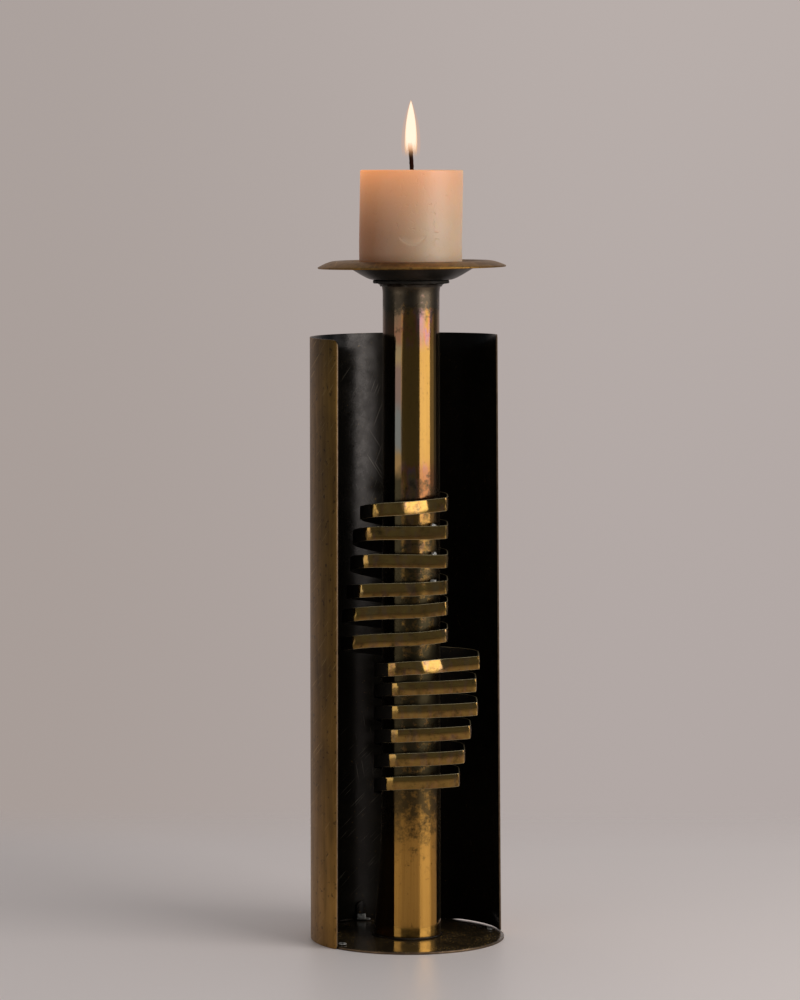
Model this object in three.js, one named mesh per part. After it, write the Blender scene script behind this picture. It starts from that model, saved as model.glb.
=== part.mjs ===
// Brass candle holder. A tube stands on a round plate with a curved sheet soldered round the back and
// the left of the plate. One flat strip is wound round the tube in twelve turns, six of them swung out
// to the left and six to the right. A spun dish on a collar carries a pillar candle on a pricket.
// Sizes are in millimetres and angles in degrees. +Z is up, the front is -Y, and the origin is the
// centre of the plate's underside.
import * as THREE from "three";

// Clearance left where one piece is soldered to another or rests on it
const seatGap = 0.3;

// Round base plate
const plateRadius = 47;
const plateThickness = 1.2;

// Curved sheet round the plate. Its free edges are given as turns from the front towards the right.
const shieldHeight = 295;
const shieldSheet = 0.8;
const shieldLeftFootTurn = -46.5;
const shieldLeftTopTurn = -45.5;
const shieldRightFootTurn = -253.5;
const shieldRightTopTurn = -250;
const shieldFootRise = 1.9;
const shieldTopRise = 1.1;
const shieldTopCorner = 3;
const shieldFootCorner = 1.5;

// Arched tab inside the sheet
const tabWidth = 5;
const tabHeight = 8.8;
const tabThickness = 1;
const tabTurn = -149.8;

// Stem tube, a little wider at its foot, where its left side is splayed out
const stemOffset = 1.2;
const stemLength = 319.6;
const stemTopRadius = 13.8;
const stemFootRadius = 14.7;
const stemWall = 1.2;
const stemFlare = 0.9;
const stemFlareHeight = 5;
const splayReach = 3.6;
const splayHeight = 58;
const splayPower = 1.4;

// Flat strip wound round the stem
const stripWidth = 6.5;
const stripThickness = 0.9;
const stripTop = 218.1;
const stripSideGap = 2.5;
const stripFrontGap = 1;
const stripSquarePower = 2.4;
const stripTailAngle = 172;
// For each turn: the fall along its front, the drop round its back, and how far it swings out
const turns = [
  [2.5, 11.1, 6.9],
  [0.4, 13.9, 10.4],
  [-0.7, 13.3, 11.7],
  [1.3, 8.9, 13.4],
  [2.5, 10.7, 15.6],
  [3.0, 10.4, 16.3],
  [3.2, 7.8, 15.2],
  [2.4, 9.2, 13.8],
  [1.9, 9.5, 14.4],
  [2.2, 9.8, 11.2],
  [2.0, 9.4, 8.3],
  [1.9, 11.5, 5.8],
];
const turnsToTheLeft = 6;

// Collar on the stem
const collarRadius = 18.5;
const collarThickness = 1.4;

// Spun drip pan
const panRadius = 46.2;
const panSheet = 0.8;
const panFloorRadius = 19;
const panRidgeRadius = 37.5;
const panRidgeHeight = 8;
const panBrimDrop = 2.9;
// How far the floor, the ridge and the brim run on level before they bend
const panWallEase = 4;
const panRidgeEase = 5;
const panBrimEase = 3;

// Pricket, riveted through the pan and the collar
const pricketHeight = 26;
const pricketRadius = 2.3;
const pricketTipRadius = 0.4;
const flangeRadius = 7;
const flangeThickness = 1.2;
const shankRadius = 2;
const rivetRadius = 3.6;
const rivetThickness = 1.2;

// Pillar candle and its wick
const candleRadius = 25;
const candleHeight = 50.1;
const candleRound = 1.4;
const poolRadius = 20;
const poolDepth = 1.6;
const wickRadius = 0.85;
const wickDepth = 7;
const wickHeight = 12.3;
const wickLean = 1;

// Solder
const filletLeg = 1.3;
const runRadius = 0.5;
const tackEndAngle = 8;
const sideTackAngle = 40;
const sideTackRises = [2.6, 2.9, 2.6];

const plateTop = plateThickness;
const stemFoot = plateTop + seatGap;
const stemTop = stemFoot + stemLength;
const collarFoot = stemTop + seatGap;
const collarTop = collarFoot + collarThickness;
const panFoot = collarTop + seatGap;
const panFloor = panFoot + panSheet;
const shieldInside = plateRadius + seatGap;
const shankHole = shankRadius + seatGap;

const brass = new THREE.MeshStandardMaterial({ color: 0xa98a45, roughness: 0.3, metalness: 1 });
const agedBrass = new THREE.MeshStandardMaterial({ color: 0x7a6037, roughness: 0.45, metalness: 1 });
const darkBrass = new THREE.MeshStandardMaterial({ color: 0x2e2a22, roughness: 0.5, metalness: 1 });
const solder = new THREE.MeshStandardMaterial({ color: 0x9a9690, roughness: 0.5, metalness: 1 });
const wax = new THREE.MeshStandardMaterial({ color: 0xd9a57f, roughness: 0.6, metalness: 0 });
const charredCotton = new THREE.MeshStandardMaterial({ color: 0x1d130e, roughness: 0.95, metalness: 0 });

const holder = new THREE.Group();
holder.name = "candle_holder";
const column = new THREE.Group();
column.position.x = stemOffset;
holder.add(column);

function addPiece(parent, name, geometry, material) {
  const piece = new THREE.Mesh(geometry, material);
  piece.name = name;
  parent.add(piece);
  return piece;
}

const radians = THREE.MathUtils.degToRad;

// A place at a radius and a turn, where turn 0 is the front and +90 the right
function aroundAxis(radius, turn) {
  return [radius * Math.sin(radians(turn)), -radius * Math.cos(radians(turn))];
}

// A solid of revolution about +Z from a closed outline of [radius, height] points
function revolve(outline, segments) {
  const profile = outline.map(([radius, height]) => new THREE.Vector2(radius, height));
  const geometry = new THREE.LatheGeometry(profile, segments);
  geometry.rotateX(Math.PI / 2);
  return geometry;
}

// Base plate
function makePlate() {
  return revolve([[0, 0], [plateRadius, 0], [plateRadius, plateTop], [0, plateTop]], 96);
}

// How much a rounded corner takes off an edge at a distance from the corner
function cornerCut(distance, radius) {
  const inside = Math.max(0, radius - distance);
  return radius - Math.sqrt(radius * radius - inside * inside);
}

// Curved sheet: columns of four points run from the left free edge round the back to the right one
function makeShield() {
  const sweep = radians(Math.abs(shieldRightFootTurn - shieldLeftFootTurn));
  const arcLength = sweep * (shieldInside + shieldSheet / 2);
  const cornerSteps = 5;
  const wallSteps = 52;
  const places = [];
  for (let i = 0; i < cornerSteps; i += 1) {
    places.push(shieldTopCorner * (1 - Math.cos((i / cornerSteps) * (Math.PI / 2))));
  }
  for (let i = 0; i <= wallSteps; i += 1) {
    places.push(shieldTopCorner + ((arcLength - 2 * shieldTopCorner) * i) / wallSteps);
  }
  for (let i = cornerSteps - 1; i >= 0; i -= 1) {
    places.push(arcLength - places[i]);
  }
  const positions = [];
  const faces = [];
  for (const place of places) {
    const share = place / arcLength;
    const toEdge = Math.min(place, arcLength - place);
    const foot = shieldFootRise * share + cornerCut(toEdge, shieldFootCorner);
    const top = shieldHeight + shieldTopRise * share - cornerCut(toEdge, shieldTopCorner);
    const footTurn = THREE.MathUtils.lerp(shieldLeftFootTurn, shieldRightFootTurn, share);
    const topTurn = THREE.MathUtils.lerp(shieldLeftTopTurn, shieldRightTopTurn, share);
    for (const radius of [shieldInside, shieldInside + shieldSheet]) {
      positions.push(...aroundAxis(radius, footTurn), foot, ...aroundAxis(radius, topTurn), top);
    }
  }
  const [innerFoot, innerTop, outerFoot, outerTop] = [0, 1, 2, 3];
  const around = [innerFoot, outerFoot, outerTop, innerTop];
  for (let i = 0; i + 1 < places.length; i += 1) {
    for (let k = 0; k < around.length; k += 1) {
      const a = 4 * i + around[k];
      const b = 4 * i + around[(k + 1) % around.length];
      faces.push(a, b, b + 4, a, b + 4, a + 4);
    }
  }
  const last = 4 * (places.length - 1);
  faces.push(innerFoot, innerTop, outerTop, innerFoot, outerTop, outerFoot);
  faces.push(last + innerFoot, last + outerFoot, last + outerTop);
  faces.push(last + innerFoot, last + outerTop, last + innerTop);
  return closedGeometry(positions, faces);
}

function closedGeometry(positions, faces) {
  const geometry = new THREE.BufferGeometry();
  geometry.setAttribute("position", new THREE.Float32BufferAttribute(positions, 3));
  geometry.setIndex(faces);
  geometry.computeVertexNormals();
  return geometry;
}

// Arched tab that stands on the plate against the inside of the sheet, with a fillet at its foot
function makeTab() {
  const outline = new THREE.Shape();
  outline.moveTo(-tabWidth / 2, 0);
  outline.lineTo(tabWidth / 2, 0);
  outline.lineTo(tabWidth / 2, tabHeight - tabWidth / 2);
  outline.absarc(0, tabHeight - tabWidth / 2, tabWidth / 2, 0, Math.PI, false);
  outline.lineTo(-tabWidth / 2, 0);
  return new THREE.ExtrudeGeometry(outline, { depth: tabThickness, bevelEnabled: false, curveSegments: 10 });
}

function makeTabFillet() {
  const outline = new THREE.Shape();
  outline.moveTo(0, 0);
  outline.lineTo(filletLeg, 0);
  outline.lineTo(0, filletLeg);
  return new THREE.ExtrudeGeometry(outline, { depth: tabWidth, bevelEnabled: false });
}

// Stem radius at a height, between its foot and its top
function stemRadiusAt(height) {
  return THREE.MathUtils.mapLinear(height, stemFoot, stemTop, stemFootRadius, stemTopRadius);
}

// The foot of the stem, and what is soldered round it, bulges to the left
function splay(geometry) {
  const position = geometry.getAttribute("position");
  for (let i = 0; i < position.count; i += 1) {
    const [x, y, z] = [position.getX(i), position.getY(i), position.getZ(i)];
    const low = Math.max(0, 1 - (z - stemFoot) / splayHeight);
    const left = Math.max(0, -x / Math.hypot(x, y));
    position.setX(i, x - splayReach * Math.pow(low, splayPower) * left * left);
  }
  return geometry;
}

function makeStem() {
  const outside = [0, 5, 11, 18, 27, 38, splayHeight].map((rise) => stemFoot + rise);
  outside.push(stemTop - stemFlareHeight);
  const outline = outside.map((height) => [stemRadiusAt(height), height]);
  outline.push([stemTopRadius + stemFlare / 3, stemTop - stemFlareHeight / 3]);
  outline.push([stemTopRadius + stemFlare, stemTop]);
  const inside = outline.map(([radius, height]) => [radius - stemWall, height]).reverse();
  return splay(revolve([...outline, ...inside, outline[0]], 40));
}

function makeFootFillet() {
  const inner = stemFootRadius + seatGap;
  const foot = plateTop + seatGap;
  const outline = [[inner, foot], [inner + filletLeg, foot], [inner, foot + filletLeg], [inner, foot]];
  return splay(revolve(outline, 40));
}

function makeCollarFillet() {
  const inner = stemTopRadius + stemFlare + seatGap;
  const top = collarFoot - seatGap;
  const foot = top - filletLeg;
  return revolve([[inner, foot], [inner + filletLeg, top], [inner, top], [inner, foot]], 48);
}

function makeCollar() {
  const outline = [
    [shankHole, collarFoot],
    [collarRadius, collarFoot],
    [collarRadius, collarTop],
    [shankHole, collarTop],
    [shankHole, collarFoot],
  ];
  return revolve(outline, 64);
}

// The strip is followed by a winding angle that is 0 at the front of the first turn and grows to the
// left. Along a front it falls a little, and round the left and the back it drops to the next turn.
const frontStartAngle = -60;
const frontEndAngle = 50;
const backEndAngle = 190;
const backShare = 0.88;

function rawStripHeight(angle) {
  const turn = Math.max(0, Math.floor((angle - frontStartAngle) / 360));
  let height = stripTop;
  for (let i = 0; i < turn; i += 1) {
    height -= turns[i][0] + turns[i][1];
  }
  const [fall, drop] = turns[turn];
  const local = angle - 360 * turn;
  const slowDrop = (1 - backShare) * drop;
  const slowStretch = 360 + frontStartAngle - backEndAngle;
  if (local < frontStartAngle) {
    return height + (slowDrop * (frontStartAngle - local)) / slowStretch;
  }
  if (local < frontEndAngle) {
    return height - (fall * (local - frontStartAngle)) / (frontEndAngle - frontStartAngle);
  }
  if (local < backEndAngle) {
    return height - fall - (backShare * drop * (local - frontEndAngle)) / (backEndAngle - frontEndAngle);
  }
  return height - fall - drop + (slowDrop * (360 + frontStartAngle - local)) / slowStretch;
}

// Height of the strip's middle, with the changes of slope eased over a short stretch
function stripHeight(angle) {
  const reach = 24;
  const samples = 9;
  let sum = 0;
  for (let i = 0; i < samples; i += 1) {
    const shift = reach * ((2 * i) / (samples - 1) - 1);
    sum += rawStripHeight(Math.min(angle + shift, lastAngle));
  }
  return sum / samples - stripWidth / 2;
}

const lastAngle = 360 * (turns.length - 1) + stripTailAngle;

// Middle of the strip in plan: a squared oval, with one end swung out
function stripPlan(angle) {
  const turn = Math.floor((angle + 180) / 360);
  const swing = turns[Math.min(turn, turns.length - 1)][2];
  const towardsLeft = Math.sin(radians(angle));
  const towardsFront = Math.cos(radians(angle));
  const free = turn < turnsToTheLeft === towardsLeft > 0;
  const reach = stemFootRadius + stripSideGap + stripThickness / 2 + (free ? swing : 0);
  const halfDepth = stemFootRadius + stripFrontGap + stripThickness / 2;
  const power = 2 / stripSquarePower;
  return [
    -Math.sign(towardsLeft) * reach * Math.pow(Math.abs(towardsLeft), power),
    -Math.sign(towardsFront) * halfDepth * Math.pow(Math.abs(towardsFront), power),
  ];
}

// Unit vector in plan that points out of the strip
function stripOutward(angle) {
  const [ax, ay] = stripPlan(angle - 2);
  const [bx, by] = stripPlan(angle + 2);
  const length = Math.hypot(bx - ax, by - ay);
  return [-(by - ay) / length, (bx - ax) / length];
}

function makeStrip() {
  const stepsPerTurn = 28;
  const first = -stripTailAngle;
  const steps = Math.round(((lastAngle - first) / 360) * stepsPerTurn);
  const positions = [];
  const faces = [];
  const edges = [];
  for (let i = 0; i <= steps; i += 1) {
    const angle = first + ((lastAngle - first) * i) / steps;
    const [x, y] = stripPlan(angle);
    const [nx, ny] = stripOutward(angle);
    const z = stripHeight(angle);
    const half = stripThickness / 2;
    for (const [out, up] of [[-half, -1], [half, -1], [half, 1], [-half, 1]]) {
      positions.push(x + nx * out, y + ny * out, z + (up * stripWidth) / 2);
    }
    edges.push([new THREE.Vector3(x, y, z + stripWidth / 2), new THREE.Vector3(x, y, z - stripWidth / 2)]);
  }
  for (let i = 0; i < steps; i += 1) {
    for (let k = 0; k < 4; k += 1) {
      const a = 4 * i + k;
      const b = 4 * i + ((k + 1) % 4);
      faces.push(a, b, b + 4, a, b + 4, a + 4);
    }
  }
  const last = 4 * steps;
  faces.push(0, 2, 1, 0, 3, 2);
  faces.push(last, last + 1, last + 2, last, last + 2, last + 3);
  let leastGap = Infinity;
  for (let i = 0; i < edges.length; i += 1) {
    for (let k = i + Math.floor(stepsPerTurn / 2); k < edges.length; k += 1) {
      leastGap = Math.min(leastGap, edges[i][1].distanceTo(edges[k][0]));
    }
  }
  console.log(`Wound strip: ${turns.length} turns, least gap to itself ${leastGap.toFixed(2)} mm`);
  return closedGeometry(positions, faces);
}

// A drop of solder that bridges the stem and the strip at a winding angle
function makeTack(angle, rise) {
  const [x, y] = stripPlan(angle);
  const z = stripHeight(angle) + rise;
  const fromAxis = Math.hypot(x, y);
  const inside = fromAxis - stripThickness / 2 - seatGap;
  const outside = stemRadiusAt(z) + seatGap;
  const tack = new THREE.SphereGeometry(1, 12, 8);
  tack.scale((inside - outside) / 2, 1.6, 1.3);
  tack.rotateZ(Math.atan2(y, x));
  const middle = (inside + outside) / 2 / fromAxis;
  tack.translate(x * middle, y * middle, z);
  return tack;
}

// Underside of the pan, from its hole over the floor, the wall and the ridge to the brim
function panUnderside() {
  const line = new THREE.Path();
  line.moveTo(shankHole, 0);
  line.lineTo(panFloorRadius, 0);
  line.bezierCurveTo(
    panFloorRadius + panWallEase, 0,
    panRidgeRadius - panRidgeEase, panRidgeHeight,
    panRidgeRadius, panRidgeHeight,
  );
  const brimHeight = panRidgeHeight - panBrimDrop;
  line.quadraticCurveTo(panRidgeRadius + panBrimEase, panRidgeHeight, panRadius, brimHeight);
  return line.getPoints(5);
}

// Inside of the pan: the underside moved out by the sheet's thickness
function panInside(underside) {
  return underside.map((point, i) => {
    const before = underside[Math.max(0, i - 1)];
    const after = underside[Math.min(underside.length - 1, i + 1)];
    const along = after.clone().sub(before).normalize();
    return new THREE.Vector2(point.x - along.y * panSheet, point.y + along.x * panSheet);
  });
}

function makePan() {
  const underside = panUnderside();
  const inside = panInside(underside);
  inside[0].x = shankHole;
  const outline = [...underside, ...inside.reverse(), underside[0]];
  return revolve(outline.map(({ x, y }) => [x, panFoot + y]), 60);
}

// Height of the pan's inside at a radius
function panHeightAt(radius) {
  const inside = panInside(panUnderside());
  const next = inside.findIndex(({ x }) => x > radius);
  const [a, b] = [inside[next - 1], inside[next]];
  return panFoot + THREE.MathUtils.mapLinear(radius, a.x, b.x, a.y, b.y);
}

const flangeFoot = panFloor + seatGap;
const flangeTop = flangeFoot + flangeThickness;
const pricketTip = flangeTop + pricketHeight;

function makePricket() {
  const rivetTop = collarFoot - seatGap;
  const outline = [
    [0, rivetTop - rivetThickness],
    [rivetRadius, rivetTop - rivetThickness],
    [rivetRadius, rivetTop],
    [shankRadius, rivetTop],
    [shankRadius, flangeFoot],
    [flangeRadius, flangeFoot],
    [flangeRadius, flangeTop],
    [pricketRadius, flangeTop],
    [pricketTipRadius, pricketTip],
    [0, pricketTip],
  ];
  return revolve(outline, 24);
}

const candleFoot = panHeightAt(candleRadius) + seatGap;
const candleTop = candleFoot + candleHeight;

function makeCandle() {
  const wickHole = wickRadius + seatGap;
  const poolFloor = candleTop - poolDepth;
  const line = new THREE.Path();
  line.moveTo(0, pricketTip + seatGap);
  line.lineTo(pricketTipRadius + seatGap, pricketTip + seatGap);
  line.lineTo(pricketRadius + seatGap, candleFoot);
  line.lineTo(candleRadius, candleFoot);
  line.lineTo(candleRadius, candleTop - candleRound);
  line.quadraticCurveTo(candleRadius, candleTop, candleRadius - candleRound, candleTop);
  line.lineTo(poolRadius, candleTop);
  line.quadraticCurveTo(poolRadius - 4, poolFloor, wickHole, poolFloor);
  line.lineTo(wickHole, poolFloor - wickDepth - seatGap);
  line.lineTo(0, poolFloor - wickDepth - seatGap);
  return revolve(line.getPoints(4).map(({ x, y }) => [x, y]), 44);
}

function makeWick() {
  const foot = candleTop - poolDepth - wickDepth;
  const route = new THREE.CatmullRomCurve3([
    new THREE.Vector3(0, 0, foot),
    new THREE.Vector3(0, 0, candleTop - poolDepth),
    new THREE.Vector3(-wickLean * 0.2, 0, candleTop + wickHeight / 3),
    new THREE.Vector3(-wickLean, 0, candleTop + wickHeight),
  ]);
  const section = new THREE.Shape();
  section.absarc(0, 0, wickRadius, 0, 2 * Math.PI, false);
  return new THREE.ExtrudeGeometry(section, { steps: 12, curveSegments: 8, extrudePath: route });
}

// A low pool of solder with a flat underside
function makePool(length, width, height) {
  const line = new THREE.Path();
  line.moveTo(0, 0);
  line.lineTo(1, 0);
  line.quadraticCurveTo(0.9, 1, 0, 1);
  const pool = revolve(line.getPoints(4).map(({ x, y }) => [x, y]), 14);
  pool.scale(length / 2, width / 2, height);
  return pool;
}

// A run of solder in the corner between the plate and the sheet
function makeRun(startTurn, endTurn) {
  const radius = shieldInside - seatGap - runRadius;
  const points = [0, 0.25, 0.5, 0.75, 1].map((share) => {
    const [x, y] = aroundAxis(radius, THREE.MathUtils.lerp(startTurn, endTurn, share));
    return new THREE.Vector3(x, y, plateTop + seatGap + runRadius);
  });
  const section = new THREE.Shape();
  section.absarc(0, 0, runRadius, 0, 2 * Math.PI, false);
  const route = new THREE.CatmullRomCurve3(points);
  return new THREE.ExtrudeGeometry(section, { steps: 8, curveSegments: 6, extrudePath: route });
}

addPiece(holder, "base_plate", makePlate(), darkBrass);
addPiece(holder, "shield", makeShield(), agedBrass);

const tabBack = Math.sqrt(shieldInside ** 2 - (tabWidth / 2) ** 2) - seatGap;
const tabPlace = new THREE.Group();
tabPlace.rotation.z = radians(tabTurn);
holder.add(tabPlace);
const tab = addPiece(tabPlace, "shield_tab", makeTab(), darkBrass);
tab.rotation.x = Math.PI / 2;
tab.position.set(0, -tabBack + tabThickness, plateTop + seatGap);
const tabFillet = addPiece(tabPlace, "solder_tab", makeTabFillet(), solder);
tabFillet.rotation.set(Math.PI / 2, Math.PI / 2, 0);
tabFillet.position.set(-tabWidth / 2, -tabBack + tabThickness + seatGap, plateTop + seatGap);

const poolFoot = plateTop + seatGap;
const solderPools = [
  ["solder_left_edge", -50, 5.2, 6, 2.2, 0.5],
  ["solder_beside_tab", -156.5, 2.4, 3.2, 2.2, 1.2],
  ["solder_rear_drop", 160, 8, 2, 1.4, 0.5],
  ["solder_right_edge", 108.5, 4.6, 6.5, 2.6, 0.35],
];
for (const [name, turn, inset, length, width, height] of solderPools) {
  const pool = addPiece(holder, name, makePool(length, width, height), solder);
  const [x, y] = aroundAxis(shieldInside - inset, turn);
  pool.rotation.z = radians(turn);
  pool.position.set(x, y, poolFoot);
}
addPiece(holder, "solder_rear_seam", makeRun(-132, -143), solder);

addPiece(column, "stem_tube", makeStem(), brass);
addPiece(column, "solder_stem_foot", makeFootFillet(), solder);
addPiece(column, "wound_strip", makeStrip(), brass);
// The winding angle of each drop, and how far it stands above the middle of the strip: one near each end
// of the strip, and one on the right of each of the first turns that swing out to the left
const tacks = [[tackEndAngle - stripTailAngle, 0]];
sideTackRises.forEach((rise, i) => tacks.push([360 * (i + 1) - sideTackAngle, rise]));
tacks.push([lastAngle - tackEndAngle, 0]);
tacks.forEach(([angle, rise], i) => {
  addPiece(column, `solder_strip_${i + 1}`, makeTack(angle, rise), solder);
});

addPiece(column, "collar", makeCollar(), darkBrass);
addPiece(column, "solder_collar", makeCollarFillet(), solder);
addPiece(column, "drip_pan", makePan(), agedBrass);
addPiece(column, "pricket", makePricket(), brass);
addPiece(column, "candle", makeCandle(), wax);
addPiece(column, "wick", makeWick(), charredCotton);

export default holder;
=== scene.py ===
"""Brass candle holder with a curved shield, a wound strip and a spun pan, lit on a pale floor."""

import math

import bmesh
import bpy
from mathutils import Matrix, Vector, noise


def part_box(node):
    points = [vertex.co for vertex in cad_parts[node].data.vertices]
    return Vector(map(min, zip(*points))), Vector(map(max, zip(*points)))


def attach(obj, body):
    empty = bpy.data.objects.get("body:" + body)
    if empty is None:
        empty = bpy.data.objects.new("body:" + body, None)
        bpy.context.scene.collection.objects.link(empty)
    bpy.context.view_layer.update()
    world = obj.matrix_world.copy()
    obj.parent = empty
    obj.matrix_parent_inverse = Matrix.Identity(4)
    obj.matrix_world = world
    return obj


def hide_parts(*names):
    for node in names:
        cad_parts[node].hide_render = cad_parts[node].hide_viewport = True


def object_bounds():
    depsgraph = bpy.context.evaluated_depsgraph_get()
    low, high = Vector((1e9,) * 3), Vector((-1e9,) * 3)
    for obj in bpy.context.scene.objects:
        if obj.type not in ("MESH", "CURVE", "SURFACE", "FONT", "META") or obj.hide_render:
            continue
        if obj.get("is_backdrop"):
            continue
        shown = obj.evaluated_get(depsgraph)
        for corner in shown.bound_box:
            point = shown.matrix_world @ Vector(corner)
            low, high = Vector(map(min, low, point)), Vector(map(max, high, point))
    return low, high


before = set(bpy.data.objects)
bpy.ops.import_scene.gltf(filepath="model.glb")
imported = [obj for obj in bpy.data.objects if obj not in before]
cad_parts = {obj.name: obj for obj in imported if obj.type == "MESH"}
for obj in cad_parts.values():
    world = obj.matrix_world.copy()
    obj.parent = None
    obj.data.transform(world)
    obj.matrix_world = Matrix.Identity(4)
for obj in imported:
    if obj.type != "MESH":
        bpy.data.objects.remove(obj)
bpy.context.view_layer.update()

# Base plate
# A round disc of sheet brass, about 1.2 mm thick, cut by hand and blackened on top. The shield and the
# stem are soldered to it, and its sawn rim was left bare, so it shows as a thin brown line.

MM = 0.001
PLATE_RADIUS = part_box("base_plate")[1].x
PLATE_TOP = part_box("base_plate")[1].z
RIM_ROUND = 0.22 * MM


def work_on(piece):
    """Makes one piece the only thing selected, and active."""
    bpy.ops.object.select_all(action="DESELECT")
    piece.select_set(True)
    bpy.context.view_layer.objects.active = piece


def turned(name, rings, axis_x=0.0, sides=128, closed=True):
    """A turned piece: a circle extruded and resized through rings of (radius, height) in mm."""
    radius, height = rings[0]
    centre = Vector((axis_x * MM, 0, height * MM))
    bpy.ops.object.select_all(action="DESELECT")
    bpy.ops.mesh.primitive_circle_add(vertices=sides, radius=radius * MM, location=centre)
    piece = bpy.context.object
    piece.name = name
    bpy.ops.object.transform_apply(location=True, rotation=True, scale=True)
    bpy.ops.object.mode_set(mode="EDIT")
    bpy.ops.mesh.select_all(action="SELECT")
    for next_radius, next_height in rings[1:]:
        rise = (next_height - height) * MM
        bpy.ops.mesh.extrude_region_move(TRANSFORM_OT_translate={"value": (0, 0, rise)})
        share = next_radius / radius
        middle = (axis_x * MM, 0, next_height * MM)
        bpy.ops.transform.resize(value=(share, share, 1), center_override=middle)
        radius, height = next_radius, next_height
    bpy.ops.mesh.select_all(action="SELECT")
    if closed:
        bpy.ops.mesh.fill_holes(sides=0)
    bpy.ops.mesh.normals_make_consistent(inside=False)
    bpy.ops.object.mode_set(mode="OBJECT")
    return piece


def shape_with(piece, kind, **settings):
    """Adds a modifier to a piece and applies it."""
    modifier = piece.modifiers.new(kind.lower(), kind)
    for setting, value in settings.items():
        setattr(modifier, setting, value)
    work_on(piece)
    bpy.ops.object.modifier_apply(modifier=modifier.name)


def break_edges(piece, width, segments=2, angle=50):
    """Rounds every edge where two faces meet at more than the angle."""
    shape_with(
        piece, "BEVEL", width=width, segments=segments, limit_method="ANGLE", angle_limit=math.radians(angle),
    )


def smooth(piece, angle=30):
    """Smooth shading, with a crease wherever two faces meet at more than the angle."""
    work_on(piece)
    bpy.ops.object.shade_smooth_by_angle(angle=math.radians(angle))


def linear(code):
    """The linear colour of an sRGB hex code such as b08d57."""
    shares = [int(code[i : i + 2], 16) / 255 for i in (0, 2, 4)]
    return (*[s / 12.92 if s <= 0.04045 else ((s + 0.055) / 1.055) ** 2.4 for s in shares], 1)


def add_node(tree, kind, inputs=None, **settings):
    """Adds a node with its settings. An input is a value, or the output socket that feeds it."""
    node = tree.nodes.new(kind)
    for setting, value in settings.items():
        setattr(node, setting, value)
    for socket, value in (inputs or {}).items():
        if isinstance(value, bpy.types.NodeSocket):
            tree.links.new(value, node.inputs[socket])
        else:
            node.inputs[socket].default_value = value
    return node


def new_material(name):
    """An empty node material, with its tree and its output."""
    material = bpy.data.materials.new(name)
    material.use_nodes = True
    tree = material.node_tree
    tree.nodes.clear()
    return material, tree, add_node(tree, "ShaderNodeOutputMaterial")


def scratches(tree, place, turned_by, width=0.3, length=22, threshold=0.73, depth=None):
    """Hairline scratches in one main direction, as a factor from 0 to 1. Sizes are in mm. A depth keeps
    them whole on a sheet that curves away from the front."""
    drawn = add_node(tree, "ShaderNodeMapping", {
        "Vector": place, "Rotation": turned_by, "Scale": (width * MM, (depth or width) * MM, length * MM),
    }, vector_type="TEXTURE")
    hairs = add_node(tree, "ShaderNodeTexNoise", {"Vector": drawn.outputs["Vector"], "Scale": 1, "Detail": 1})
    return add_node(tree, "ShaderNodeMapRange", {
        "Value": hairs.outputs["Fac"], "From Min": threshold, "From Max": threshold + 0.06,
    }).outputs["Result"]


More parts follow.
